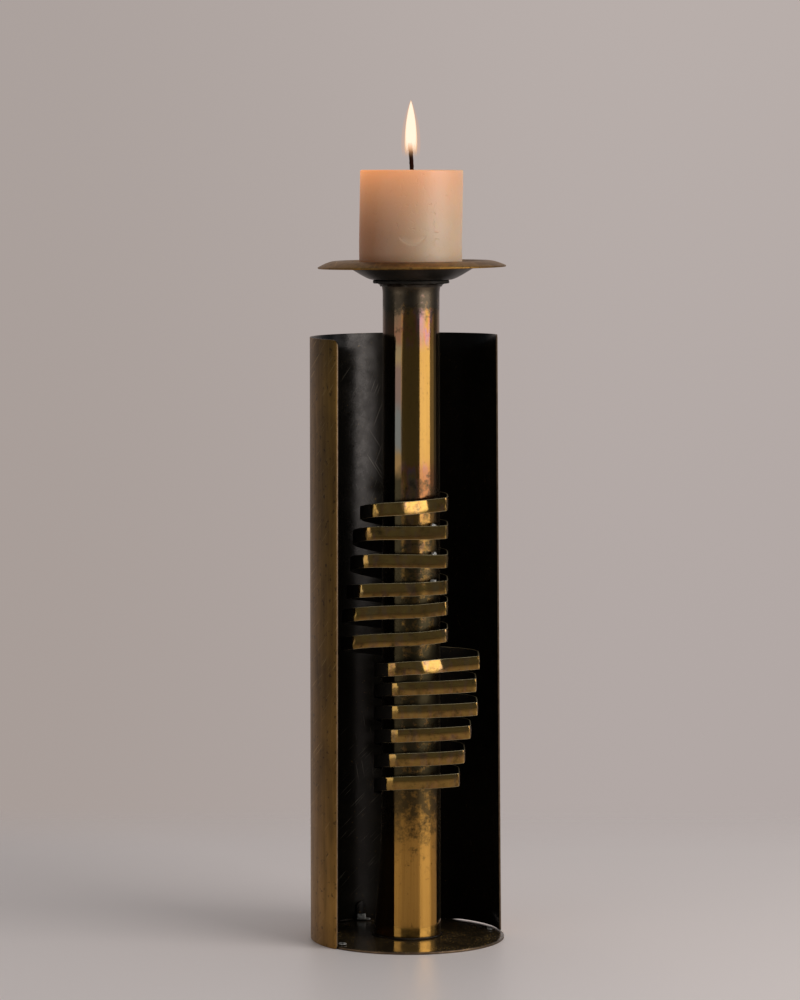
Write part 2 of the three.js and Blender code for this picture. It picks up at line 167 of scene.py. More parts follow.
def blackened_brass(
    name, bare_amount=0.5, scratch_amount=1.0, gloss=(0.28, 0.44), shine=0.5,
    tone=("0b0a08", "1c1812"), grain_size=0.8, grain_stretch=1, bare_metal=1.0, worn=None, scored=(),
):
    """Brass blackened with liver of sulphur and waxed: near black and satin, with the bare metal
    showing through in gold specks and in fine scratches."""
    material, tree, output = new_material(name)
    place = add_node(tree, "ShaderNodeTexCoord").outputs["Object"]
    clouds = add_node(tree, "ShaderNodeTexNoise", {"Vector": place, "Scale": 1 / (14 * MM), "Detail": 5})
    # Where it is wiped to and fro its specks are longer from front to back
    grain_place = add_node(tree, "ShaderNodeMapping", {"Vector": place, "Scale": (1, 1 / grain_stretch, 1)})
    grain = add_node(tree, "ShaderNodeTexNoise", {
        "Vector": grain_place.outputs["Vector"], "Scale": 1 / (grain_size * MM), "Detail": 3,
    })
    specks = add_node(tree, "ShaderNodeMapRange", {
        "Value": grain.outputs["Fac"],
        "From Min": 0.7 - 0.05 * bare_amount, "From Max": 0.78 - 0.04 * bare_amount,
    })
    where = add_node(tree, "ShaderNodeMapRange", {
        "Value": clouds.outputs["Fac"], "From Min": 0.42, "From Max": 0.62,
    })
    rising = scratches(tree, place, (0.35, 0.5, 0.2))
    falling = scratches(tree, place, (-0.5, -0.3, 0.4), length=14, threshold=0.74)
    both = add_node(tree, "ShaderNodeMath", {0: rising, 1: falling}, operation="MAXIMUM")
    scratch = add_node(tree, "ShaderNodeMath", {
        0: both.outputs["Value"], 1: 0.35 * scratch_amount,
    }, operation="MULTIPLY")
    bare = add_node(tree, "ShaderNodeMath", {
        0: specks.outputs["Result"], 1: where.outputs["Result"],
    }, operation="MULTIPLY")
    shown = add_node(tree, "ShaderNodeMath", {
        0: bare.outputs["Value"], 1: scratch.outputs["Value"],
    }, operation="MAXIMUM")
    dark = add_node(tree, "ShaderNodeMix", {
        "Factor": clouds.outputs["Fac"], "A": linear(tone[0]), "B": linear(tone[1]),
    }, data_type="RGBA")
    colour = add_node(tree, "ShaderNodeMix", {
        "Factor": shown.outputs["Value"], "A": dark.outputs["Result"], "B": linear("a98547"),
    }, data_type="RGBA")
    rough = add_node(tree, "ShaderNodeMapRange", {
        "Value": clouds.outputs["Fac"], "From Min": 0.3, "From Max": 0.7,
        "To Min": gloss[0], "To Max": gloss[1],
    })
    if worn:
        # The wax has more shine from half way up, is thinner in mottled patches, and has worn off from
        # here to here, measured across
        low_shine, high_shine = shine
        axes = add_node(tree, "ShaderNodeSeparateXYZ", {"Vector": place})
        waxed = add_node(tree, "ShaderNodeMapRange", {
            "Value": axes.outputs["Z"], "From Min": 120 * MM, "From Max": 240 * MM,
            "To Min": low_shine, "To Max": high_shine,
        }).outputs["Result"]
        left = add_node(tree, "ShaderNodeMapRange", {
            "Value": axes.outputs["X"], "From Min": worn[0] * MM, "From Max": worn[1] * MM,
            "To Min": 1.0, "To Max": 0.25,
        })
        patches = add_node(tree, "ShaderNodeTexNoise", {
            "Vector": place, "Scale": 1 / (5 * MM), "Detail": 8, "Roughness": 0.72,
        })
        mottled = add_node(tree, "ShaderNodeMapRange", {
            "Value": patches.outputs["Fac"], "From Min": 0.36, "From Max": 0.6,
            "To Min": 0.62, "To Max": 1.15,
        })
        for factor in (left, mottled):
            waxed = add_node(tree, "ShaderNodeMath", {
                0: waxed, 1: factor.outputs["Result"],
            }, operation="MULTIPLY").outputs["Value"]
        shine = waxed
    for spans, slant, rarity in scored:
        # Pale slanting scores within spans of ((x, x), (z, z)) in mm
        axes = add_node(tree, "ShaderNodeSeparateXYZ", {"Vector": place})
        marks = scratches(tree, place, (0, slant, 0), width=0.36, length=18, threshold=rarity, depth=40)
        for axis, (start, end) in zip("XZ", spans):
            middle, reach = (start + end) / 2 * MM, (end - start) / 2 * MM
            off = add_node(tree, "ShaderNodeMath", {
                0: axes.outputs[axis], 1: middle,
            }, operation="SUBTRACT")
            far = add_node(tree, "ShaderNodeMath", {0: off.outputs["Value"]}, operation="ABSOLUTE")
            inside = add_node(tree, "ShaderNodeMapRange", {
                "Value": far.outputs["Value"], "From Min": reach, "From Max": 0.6 * reach,
            })
            marks = add_node(tree, "ShaderNodeMath", {
                0: marks, 1: inside.outputs["Result"],
            }, operation="MULTIPLY").outputs["Value"]
        colour = add_node(tree, "ShaderNodeMix", {
            "Factor": marks, "A": colour.outputs["Result"], "B": linear("625c50"),
        }, data_type="RGBA")
    metal = add_node(tree, "ShaderNodeMath", {0: shown.outputs["Value"], 1: bare_metal}, operation="MULTIPLY")
    relief = add_node(tree, "ShaderNodeBump", {
        "Height": grain.outputs["Fac"], "Strength": 0.3, "Distance": 0.06 * MM,
    })
    shader = add_node(tree, "ShaderNodeBsdfPrincipled", {
        "Base Color": colour.outputs["Result"],
        "Roughness": rough.outputs["Result"],
        "Metallic": metal.outputs["Value"],
        "Specular IOR Level": shine,
        "Specular Tint": linear("fff2ea"),
        "Normal": relief.outputs["Normal"],
    })
    tree.links.new(shader.outputs["BSDF"], output.inputs["Surface"])
    return material


def bare_edge(name, dark_code, light_code):
    """Sawn and filed sheet edge, rubbed bright by handling: pinkish brown brass with file marks."""
    material, tree, output = new_material(name)
    place = add_node(tree, "ShaderNodeTexCoord").outputs["Object"]
    wear = add_node(tree, "ShaderNodeTexNoise", {"Vector": place, "Scale": 1 / (3 * MM), "Detail": 4})
    colour = add_node(tree, "ShaderNodeMix", {
        "Factor": wear.outputs["Fac"], "A": linear(dark_code), "B": linear(light_code),
    }, data_type="RGBA")
    relief = add_node(tree, "ShaderNodeBump", {
        "Height": wear.outputs["Fac"], "Strength": 0.4, "Distance": 0.1 * MM,
    })
    shader = add_node(tree, "ShaderNodeBsdfPrincipled", {
        "Base Color": colour.outputs["Result"], "Roughness": 0.42, "Metallic": 1.0,
        "Normal": relief.outputs["Normal"],
    })
    tree.links.new(shader.outputs["BSDF"], output.inputs["Surface"])
    return material


def give_edges(piece, material, is_edge):
    """Puts a second material on the faces that is_edge picks by their centre and normal."""
    piece.data.materials.append(material)
    for face in piece.data.polygons:
        if is_edge(face.center, face.normal):
            face.material_index = 1


plate = turned("plate_disc", [
    (PLATE_RADIUS / MM, 0), (PLATE_RADIUS / MM, PLATE_TOP / MM), (PLATE_RADIUS / MM - 3, PLATE_TOP / MM),
], sides=192)
break_edges(plate, RIM_ROUND, segments=3, angle=40)
smooth(plate)
plate.data.materials.append(blackened_brass(
    "blackened brass plate", bare_amount=2.6, gloss=(0.12, 0.3), tone=("1c160e", "382d1f"), grain_size=0.65,
    grain_stretch=5, bare_metal=0.4,
))
sawn_edge = bare_edge("sawn brass edge", "3e3024", "7c6650")
give_edges(plate, sawn_edge, lambda centre, normal: abs(normal.z) < 0.5)
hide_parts("base_plate")
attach(plate, "holder")

# Shield
# One sheet of 0.8 mm brass, cut with slightly slanting ends and rounded corners, rolled to the plate's
# curve and soldered round its back and left. It is brown with age outside and blackened inside.

SHIELD_OUTSIDE = -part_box("shield")[0].x
SHIELD_SHEET = 0.8 * MM
SHIELD_MIDDLE = math.radians(-150)
SHIELD_LEFT_FOOT = math.radians(-46.5)
SHIELD_LEFT_TOP = math.radians(-45.5)
SHIELD_RIGHT_FOOT = math.radians(-260)
SHIELD_RIGHT_TOP = math.radians(-258)
# The last stretch at the right is rolled tighter, so that its edge stands in from the plate's rim
TUCK_START = math.radians(-205)
TUCK_FOOT = 1.6 * MM
TUCK_TOP = 3.9 * MM
SHIELD_TOP_LEFT = 295 * MM
SHIELD_TOP_RISE = 1.1 * MM
# The foot rides up on the plate, and past the solder at the back it clears it, which leaves a slit
FOOT_ON_PLATE = 1.0 * MM
FOOT_CLEAR = 0.58 * MM
CLEAR_START = math.radians(-207)
CLEAR_EASE = math.radians(6)
RISE_RATE = 1.4
TOP_CORNER = 3 * MM
FOOT_CORNER = 1.5 * MM
# The sheet's corners lie above or below one height, and further out than this from its middle
CORNER_LEVEL = 100 * MM
CORNER_OUT = 80 * MM
SHEET_COLUMNS = 140
SHEET_ROWS = 24


def select_vertices(piece, is_chosen):
    """Selects, in edit mode, the vertices that is_chosen picks by their place."""
    mesh = bmesh.from_edit_mesh(piece.data)
    for vertex in mesh.verts:
        vertex.select = is_chosen(vertex.co)
    mesh.select_flush(True)
    bmesh.update_edit_mesh(piece.data)


def cut_across(normal, places):
    """Cuts the selected faces with parallel planes, as a loop cut would."""
    for place in places:
        bpy.ops.mesh.select_all(action="SELECT")
        bpy.ops.mesh.bisect(plane_co=Vector(normal) * place, plane_no=normal)


def flat_blank(name, corners):
    """A flat sheet standing in the XZ plane, its four corners placed one by one: left foot, right
    foot, right top, left top."""
    bpy.ops.object.select_all(action="DESELECT")
    bpy.ops.mesh.primitive_plane_add(size=1, rotation=(math.pi / 2, 0, 0))
    blank = bpy.context.object
    blank.name = name
    bpy.ops.object.transform_apply(location=True, rotation=True, scale=True)
    for vertex in blank.data.vertices:
        corner = (2 if vertex.co.x > 0 else 3) if vertex.co.z > 0 else (1 if vertex.co.x > 0 else 0)
        vertex.co = (corners[corner][0], 0, corners[corner][1])
    return blank


def along_sheet(turn):
    """How far along the flat sheet a turn of the rolled one lies, from the middle."""
    return (turn - SHIELD_MIDDLE) * SHIELD_OUTSIDE


def aged_brass(name, streak_length=40, gold=0.5):
    """Brass left to brown for decades and rubbed now and then: an olive brown skin that thins to a
    golden tan in upright streaks, with dark specks and hairline scratches."""
    material, tree, output = new_material(name)
    place = add_node(tree, "ShaderNodeTexCoord").outputs["Object"]
    drawn = add_node(tree, "ShaderNodeMapping", {
        "Vector": place, "Scale": (1 / (3 * MM), 1 / (3 * MM), 1 / (streak_length * MM)),
    })
    streaks = add_node(tree, "ShaderNodeTexNoise", {
        "Vector": drawn.outputs["Vector"], "Scale": 1, "Detail": 6, "Roughness": 0.6,
    })
    clouds = add_node(tree, "ShaderNodeTexNoise", {"Vector": place, "Scale": 1 / (28 * MM), "Detail": 4})
    grain = add_node(tree, "ShaderNodeTexNoise", {"Vector": place, "Scale": 1 / (2.4 * MM), "Detail": 4})
    spots = add_node(tree, "ShaderNodeMapRange", {
        "Value": grain.outputs["Fac"], "From Min": 0.61, "From Max": 0.67, "To Max": 0.6,
    })
    hairs = scratches(tree, place, (0, 0.5, 0), width=0.34, length=14, threshold=0.68, depth=30)
    rubbed = add_node(tree, "ShaderNodeMath", {
        0: streaks.outputs["Fac"], 1: clouds.outputs["Fac"],
    }, operation="ADD")
    thin = add_node(tree, "ShaderNodeMapRange", {
        "Value": rubbed.outputs["Value"], "From Min": 0.72, "From Max": 1.35, "To Max": 2 * gold,
    }, clamp=True)
    # Handled more near the foot, so browner high up and more golden low down
    handled = add_node(tree, "ShaderNodeMapRange", {
        "Value": add_node(tree, "ShaderNodeSeparateXYZ", {"Vector": place}).outputs["Z"],
        "From Min": 0.08, "From Max": 0.01,
    })
    dark_skin = add_node(tree, "ShaderNodeMix", {
        "Factor": handled.outputs["Result"], "A": linear("5c4220"), "B": linear("86632f"),
    }, data_type="RGBA")
    thin_skin = add_node(tree, "ShaderNodeMix", {
        "Factor": handled.outputs["Result"], "A": linear("8e6831"), "B": linear("b98a48"),
    }, data_type="RGBA")
    skin = add_node(tree, "ShaderNodeMix", {
        "Factor": thin.outputs["Result"], "A": dark_skin.outputs["Result"], "B": thin_skin.outputs["Result"],
    }, data_type="RGBA")
    colour = add_node(tree, "ShaderNodeMix", {
        "Factor": spots.outputs["Result"], "A": skin.outputs["Result"], "B": linear("2c2013"),
    }, data_type="RGBA")
    fine = add_node(tree, "ShaderNodeMath", {0: hairs, 1: 0.45}, operation="MULTIPLY")
    colour = add_node(tree, "ShaderNodeMix", {
        "Factor": fine.outputs["Value"], "A": colour.outputs["Result"], "B": linear("c8a56c"),
    }, data_type="RGBA")
    rough = add_node(tree, "ShaderNodeMapRange", {
        "Value": streaks.outputs["Fac"], "To Min": 0.5, "To Max": 0.32,
    })
    relief = add_node(tree, "ShaderNodeBump", {
        "Height": streaks.outputs["Fac"], "Strength": 0.3, "Distance": 0.15 * MM,
    })
    shader = add_node(tree, "ShaderNodeBsdfPrincipled", {
        "Base Color": colour.outputs["Result"],
        "Roughness": rough.outputs["Result"],
        "Metallic": 1.0,
        "Normal": relief.outputs["Normal"],
    })
    tree.links.new(shader.outputs["BSDF"], output.inputs["Surface"])
    return material


sheet_corners = [
    (along_sheet(SHIELD_RIGHT_FOOT), 0),
    (along_sheet(SHIELD_LEFT_FOOT), 0),
    (along_sheet(SHIELD_LEFT_TOP), SHIELD_TOP_LEFT),
    (along_sheet(SHIELD_RIGHT_TOP), SHIELD_TOP_LEFT + SHIELD_TOP_RISE),
]
shield = flat_blank("shield_sheet", sheet_corners)
bpy.ops.object.mode_set(mode="EDIT")
for is_corner, size in [
    (lambda co: co.z > CORNER_LEVEL, TOP_CORNER), (lambda co: co.z < CORNER_LEVEL, FOOT_CORNER),
]:
    bpy.ops.mesh.select_all(action="DESELECT")
    select_vertices(shield, lambda co: is_corner(co) and abs(co.x) > CORNER_OUT)
    bpy.ops.mesh.bevel(offset=size, segments=6, affect="VERTICES")
sheet_left, sheet_right = sheet_corners[0][0], sheet_corners[2][0]
cut_across((1, 0, 0), [
    sheet_left + (sheet_right - sheet_left) * i / SHEET_COLUMNS for i in range(1, SHEET_COLUMNS)
])
cut_across((0, 0, 1), [SHIELD_TOP_LEFT * i / SHEET_ROWS for i in range(1, SHEET_ROWS)])
bpy.ops.object.mode_set(mode="OBJECT")
# Rolled about the plate's axis, then turned so that its middle is at the back left
for vertex in shield.data.vertices:
    turn = SHIELD_MIDDLE + vertex.co.x / SHIELD_OUTSIDE
    tuck = TUCK_FOOT + (TUCK_TOP - TUCK_FOOT) * vertex.co.z / SHIELD_TOP_LEFT
    share = max(0, (TUCK_START - turn) / (TUCK_START - SHIELD_RIGHT_FOOT))
    radius = SHIELD_OUTSIDE - tuck * share * share
    behind = min(1, RISE_RATE * (SHIELD_LEFT_FOOT - turn) / (SHIELD_LEFT_FOOT - SHIELD_RIGHT_FOOT))
    clear = min(1, max(0, (CLEAR_START - turn) / CLEAR_EASE))
    lift = (FOOT_ON_PLATE * behind + FOOT_CLEAR * clear) * (1 - vertex.co.z / SHIELD_TOP_LEFT)
    vertex.co = (radius * math.sin(turn), -radius * math.cos(turn), vertex.co.z + lift)
shield.data.materials.append(aged_brass("aged brown brass"))
shield.data.materials.append(blackened_brass(
    "blackened brass lining", bare_amount=0.1, scratch_amount=0.5, gloss=(0.15, 0.21), shine=(0.08, 0.24),
    worn=(-22, -15), scored=(
        (((-22, -12), (205, 285)), 0.35, 0.66), (((-22, -12), (200, 250)), -0.55, 0.68),
        (((-36, -14), (12, 105)), 0.8, 0.685), (((-30, -14), (60, 120)), -0.15, 0.7),
        (((-34, -24), (240, 296)), 0.6, 0.69),
    ),
))
shield.data.materials.append(sawn_edge)
shape_with(shield, "SOLIDIFY", thickness=SHIELD_SHEET, offset=-1, material_offset=1, material_offset_rim=2)
break_edges(shield, 0.15 * MM)
smooth(shield)
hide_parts("shield")
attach(shield, "holder")

# Arched tab
# A small arch-topped piece of the same sheet, stood on the plate against the inside of the shield to
# stiffen the joint, and blackened with it.

TAB_TURN = math.radians(-149.8)
TAB_WIDTH = 5 * MM
TAB_HEIGHT = 8.8 * MM
TAB_THICKNESS = 1 * MM
tab_low, tab_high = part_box("shield_tab")
TAB_SHIFT = 0.55 * MM
tab_along = Vector((math.cos(TAB_TURN), math.sin(TAB_TURN), 0))
tab_middle = (tab_low + tab_high) / 2 + TAB_SHIFT * tab_along

bpy.ops.object.select_all(action="DESELECT")
bpy.ops.mesh.primitive_circle_add(vertices=48, radius=TAB_WIDTH / 2, fill_type="NGON")
tab = bpy.context.object
tab.name = "arched_tab"
# The lower half of the circle is drawn down to the foot, which leaves an arch
for vertex in tab.data.vertices:
    if vertex.co.y < 1e-6:
        if abs(vertex.co.x) > 0.5 * MM:
            vertex.co.x = math.copysign(TAB_WIDTH / 2, vertex.co.x)
        vertex.co.y = TAB_WIDTH / 2 - TAB_HEIGHT
shape_with(tab, "SOLIDIFY", thickness=TAB_THICKNESS, offset=0)
bpy.ops.object.mode_set(mode="EDIT")
bpy.ops.mesh.select_all(action="SELECT")
bpy.ops.mesh.remove_doubles(threshold=0.01 * MM)
bpy.ops.object.mode_set(mode="OBJECT")
break_edges(tab, 0.15 * MM)
work_on(tab)
tab.rotation_euler = (math.pi / 2, 0, TAB_TURN)
tab.location = (tab_middle.x, tab_middle.y, tab_low.z + TAB_HEIGHT - TAB_WIDTH / 2)
bpy.ops.object.transform_apply(location=True, rotation=True, scale=True)
smooth(tab)
tab.data.materials.append(blackened_brass(
    "blackened brass tab", bare_amount=0.4, shine=0.12, tone=("080706", "14110e"),
))
tab_facing = Vector((math.sin(TAB_TURN), -math.cos(TAB_TURN), 0))
give_edges(
    tab, bare_edge("rubbed tab edge", "3c3833", "8a857c"),
    lambda centre, normal: abs(normal.dot(tab_facing)) < 0.9,
)
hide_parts("shield_tab")
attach(tab, "holder")

# Stem
# A tube rolled from 1.2 mm sheet brass, flared a little under the collar and splayed to the left at its
# foot, where it is soldered to the plate. It is half polished, with brown spots and mottling.

STEM_AXIS = 1.2
STEM_FOOT = 1.5
STEM_TOP = 321.1
STEM_FOOT_RADIUS = 14.7
STEM_TOP_RADIUS = 13.8
STEM_FLARE = 0.9
STEM_FLARE_HEIGHT = 5
STEM_WALL = 1.2
SPLAY_REACH = 3.6
SPLAY_HEIGHT = 58
SPLAY_POWER = 1.4
SPLAY_SPREAD = 1.3
# A soft fold runs down the tube at the left front, and only what lies left of it is splayed
FOLD_TURN = math.radians(-33.75)
FOLD_RIGHT_REACH = 0.61
FOLD_LEFT_REACH = 0.5
FOLD_HEIGHT = 0.62
FOLD_TOP = 298
FOLD_EASE = 14
FOLD_LEAST = 0.1


def stem_radius(height):
    """The stem's radius at a height in mm."""
    share = (height - STEM_FOOT) / (STEM_TOP - STEM_FOOT)
    radius = STEM_FOOT_RADIUS + (STEM_TOP_RADIUS - STEM_FOOT_RADIUS) * share
    flare = max(0, 1 - (STEM_TOP - height) / STEM_FLARE_HEIGHT)
    return radius + STEM_FLARE * flare * flare


def splay(piece, fold=True):
    """Bulges the foot of the stem, or what is soldered round it, to the left, and folds its front."""
    edge = -math.sin(FOLD_TURN)
    for vertex in piece.data.vertices:
        x, y, z = vertex.co / MM
        x -= STEM_AXIS
        radius = math.hypot(x, y)
        away = math.atan2(x, -y) - FOLD_TURN
        share = 1 - abs(away) / (FOLD_RIGHT_REACH if away > 0 else FOLD_LEFT_REACH)
        if fold and share > 0:
            rise = FOLD_HEIGHT * share * share * min(1, max(FOLD_LEAST, (FOLD_TOP - z) / FOLD_EASE))
            vertex.co.x += rise * x / radius * MM
            vertex.co.y += rise * y / radius * MM
        low = max(0, 1 - (z - STEM_FOOT) / SPLAY_HEIGHT)
        left = max(0, (-x / radius - edge) / (1 - edge))
        vertex.co.x -= SPLAY_REACH * low**SPLAY_POWER * left**SPLAY_SPREAD * MM


def by_height(tree, height, knots):
    """A factor that follows a curve through knots of (height in mm, factor)."""
    (low, first), *between, (high, last) = knots
    share = add_node(tree, "ShaderNodeMapRange", {
        "Value": height, "From Min": low * MM, "From Max": high * MM,
    })
    drawn = add_node(tree, "ShaderNodeFloatCurve", {"Value": share.outputs["Result"]})
    curve = drawn.mapping.curves[0]
    for knot, place in zip(curve.points, [(0, first), (1, last)]):
        knot.location = place
    for level, factor in between:
        curve.points.new((level - low) / (high - low), factor)
    drawn.mapping.update()
    return drawn.outputs["Value"]


def worn_brass(name, tarnish=0.5, along=None, tube=False, tones=("6e5128", "7c5d2c")):
    """Polished brass that has dulled with handling: deep gold with brown clouds and spots, fine marks
    in the direction it was drawn, pink and grey heat tints, and slow waves that bend the reflections.
    On the tube, painted shade darkens it between the strip's turns and a painted reflection of the table
    lightens its foot."""
    material, tree, output = new_material(name)
    place = add_node(tree, "ShaderNodeTexCoord").outputs["Object"]
    height = add_node(tree, "ShaderNodeSeparateXYZ", {"Vector": place}).outputs["Z"]
    if along:
        length = add_node(tree, "ShaderNodeAttribute", attribute_name=along)
        lines_place = add_node(tree, "ShaderNodeCombineXYZ", {
            "X": length.outputs["Fac"], "Z": height,
        }).outputs["Vector"]
        line_scale = (1 / (30 * MM), 1, 1 / (0.5 * MM))
    else:
        lines_place = place
        line_scale = (1 / (0.7 * MM), 1 / (0.7 * MM), 1 / (60 * MM))
    drawn = add_node(tree, "ShaderNodeMapping", {"Vector": lines_place, "Scale": line_scale})
    lines = add_node(tree, "ShaderNodeTexNoise", {"Vector": drawn.outputs["Vector"], "Scale": 1, "Detail": 3})
    clouds = add_node(tree, "ShaderNodeTexNoise", {
        "Vector": place, "Scale": 1 / ((4.5 if tube else 6) * MM), "Detail": 9, "Roughness": 0.76,
    })
    grain = add_node(tree, "ShaderNodeTexNoise", {"Vector": place, "Scale": 1 / (1.1 * MM), "Detail": 2})
    waves = add_node(tree, "ShaderNodeTexNoise", {"Vector": place, "Scale": 1 / (22 * MM), "Detail": 1})
    tint_place = add_node(tree, "ShaderNodeMapping", {
        "Vector": place, "Scale": (1 / (4 * MM), 1 / (4 * MM), 1 / (16 * MM)),
    })
    tints = add_node(tree, "ShaderNodeTexNoise", {
        "Vector": tint_place.outputs["Vector"], "Scale": 1, "Detail": 3,
    })
    spots = add_node(tree, "ShaderNodeMapRange", {
        "Value": grain.outputs["Fac"], "From Min": 0.69, "From Max": 0.74, "To Max": 0.8,
    })
    if tube:
        # The tube is dull where the strip keeps a cloth off it, and darker still there as painted shade
        # between the turns; it has flux and soot under the collar
        share = by_height(tree, height, [
            (0, 0.6), (7, 0.3), (12, 0.15), (28, 0.2), (44, 0.42), (54, 0.54), (64, 0.7), (74, 0.86),
            (90, 0.86), (150, 0.84), (190, 0.68), (206, 0.55), (222, 0.58), (234, 0.2), (298, 0.25),
            (305, 0.42), (309, 0.6), (312, 0.95), (330, 1),
        ])
    else:
        share = add_node(tree, "ShaderNodeValue").outputs["Value"]
        share.default_value = tarnish
    low = add_node(tree, "ShaderNodeMapRange", {"Value": share, "To Min": 0.74, "To Max": 0.3})
    raised = add_node(tree, "ShaderNodeMath", {
        0: clouds.outputs["Fac"], 1: low.outputs["Result"],
    }, operation="SUBTRACT")
    dull = add_node(tree, "ShaderNodeMapRange", {
        "Value": raised.outputs["Value"], "From Min": -0.05, "From Max": 0.12,
    })
    # On the tube the foot is lighter and more golden: a painted reflection of the lit table beside it
    rubbed = add_node(tree, "ShaderNodeMapRange", {
        "Value": height, "From Min": 0.085, "From Max": 0.04, "To Max": 1.0 if tube else 0.0,
    })
    deep = add_node(tree, "ShaderNodeMix", {
        "Factor": rubbed.outputs["Result"], "A": linear(tones[0]), "B": linear("966b2e"),
    }, data_type="RGBA")
    light = add_node(tree, "ShaderNodeMix", {
        "Factor": rubbed.outputs["Result"], "A": linear(tones[1]), "B": linear("b88a44"),
    }, data_type="RGBA")
    metal = add_node(tree, "ShaderNodeMix", {
        "Factor": lines.outputs["Fac"], "A": deep.outputs["Result"], "B": light.outputs["Result"],
    }, data_type="RGBA")
    heat = add_node(tree, "ShaderNodeValToRGB", {"Fac": tints.outputs["Fac"]})
    ramp = heat.color_ramp.elements
    ramp[0].position, ramp[0].color = 0.3, linear("60574b")
    ramp[1].position, ramp[1].color = 0.72, linear("5c5142")
    for position, colour in [
        (0.4, "784a2e"), (0.46, "6e5128"), (0.52, "6e5128"), (0.56, "7c4a30"), (0.61, "704c52"),
    ]:
        ramp.new(position).color = linear(colour)
    heated = add_node(tree, "ShaderNodeMapRange", {
        "Value": clouds.outputs["Fac"], "From Min": 0.35, "From Max": 0.55, "To Max": 1.0 if tube else 0.5,
    }).outputs["Result"]
    if tube:
        # The torch tinted it most under the collar and just above the strip
        torched = by_height(tree, height, [
            (0, 0), (70, 0), (90, 0.5), (205, 0.5), (218, 0.9), (230, 0.9), (238, 0.06), (288, 0.06),
            (296, 0.9), (312, 0.9), (330, 0.5),
        ])
        heated = add_node(tree, "ShaderNodeMath", {
            0: heated, 1: torched,
        }, operation="MULTIPLY").outputs["Value"]
    burnt = add_node(tree, "ShaderNodeMix", {
        "Factor": heated, "A": metal.outputs["Result"], "B": heat.outputs["Color"],
    }, data_type="RGBA")
    if tube:
        # It is scorched orange in a band above the strip
        scorched = by_height(tree, height, [
            (200, 0), (214, 0.3), (219, 0.9), (229, 0.85), (236, 0.15), (250, 0),
        ])
        across = add_node(tree, "ShaderNodeSeparateXYZ", {"Vector": place}).outputs["X"]
        on_right = add_node(tree, "ShaderNodeMapRange", {
            "Value": across, "From Min": 3.5 * MM, "From Max": 5 * MM,
        })
        scorch = add_node(tree, "ShaderNodeMath", {
            0: scorched, 1: on_right.outputs["Result"],
        }, operation="MULTIPLY")
        burnt = add_node(tree, "ShaderNodeMix", {
            "Factor": scorch.outputs["Value"], "A": burnt.outputs["Result"], "B": linear("6a442a"),
        }, data_type="RGBA")
        # and stained pink and violet right of the front, just under the flux
        stain_low = add_node(tree, "ShaderNodeMapRange", {
            "Value": height, "From Min": 0.288, "From Max": 0.3, "To Max": 0.62,
        })
        stain_left = add_node(tree, "ShaderNodeMapRange", {
            "Value": across, "From Min": 8.6 * MM, "From Max": 6.8 * MM,
        })
        stain = stain_low.outputs["Result"]
        for factor in (stain_left.outputs["Result"], on_right.outputs["Result"]):
            stain = add_node(tree, "ShaderNodeMath", {
                0: stain, 1: factor,
            }, operation="MULTIPLY").outputs["Value"]
        burnt = add_node(tree, "ShaderNodeMix", {
            "Factor": stain, "A": burnt.outputs["Result"], "B": linear("6a4e54"),
        }, data_type="RGBA")
        # A film lies on its left: flux brown at the top, then olive, pinkish, blue grey, clean and dark
        film_place = add_node(tree, "ShaderNodeMapping", {
            "Vector": place, "Scale": (1 / (4 * MM), 1 / (4 * MM), 1 / (12 * MM)),
        })
        film_cloud = add_node(tree, "ShaderNodeTexNoise", {
            "Vector": film_place.outputs["Vector"], "Scale": 1, "Detail": 4,
        })
        film_height = add_node(tree, "ShaderNodeMapRange", {
            "Value": height, "From Min": 0.2, "From Max": 0.33, "To Min": -0.06, "To Max": 0.94,
        }, clamp=False)
        drift = add_node(tree, "ShaderNodeMath", {
            0: film_cloud.outputs["Fac"], 1: 0.12, 2: film_height.outputs["Result"],
        }, operation="MULTIPLY_ADD")
        film_ramp = add_node(tree, "ShaderNodeValToRGB", {"Fac": drift.outputs["Value"]})
        ramp = film_ramp.color_ramp.elements
        ramp[0].position, ramp[0].color = 0.2, linear("2c2619")
        ramp[1].position, ramp[1].color = 0.92, linear("382e24")
        for position, colour in [
            (0.25, "6a5233"), (0.29, "665133"), (0.33, "52514c"), (0.44, "53524d"), (0.49, "5a4a42"),
            (0.61, "5e4b41"), (0.66, "6e5c40"), (0.71, "685840"), (0.74, "664734"), (0.82, "564432"),
        ]:
            ramp.new(position).color = linear(colour)
        film_side = add_node(tree, "ShaderNodeMapRange", {
            "Value": across, "From Min": -2.8 * MM, "From Max": -4 * MM,
        })
        film = add_node(tree, "ShaderNodeMath", {
            0: film_side.outputs["Result"], 1: rubbed.outputs["Result"],
        }, operation="SUBTRACT", use_clamp=True)
        burnt = add_node(tree, "ShaderNodeMix", {
            "Factor": film.outputs["Value"], "A": burnt.outputs["Result"], "B": film_ramp.outputs["Color"],
        }, data_type="RGBA")
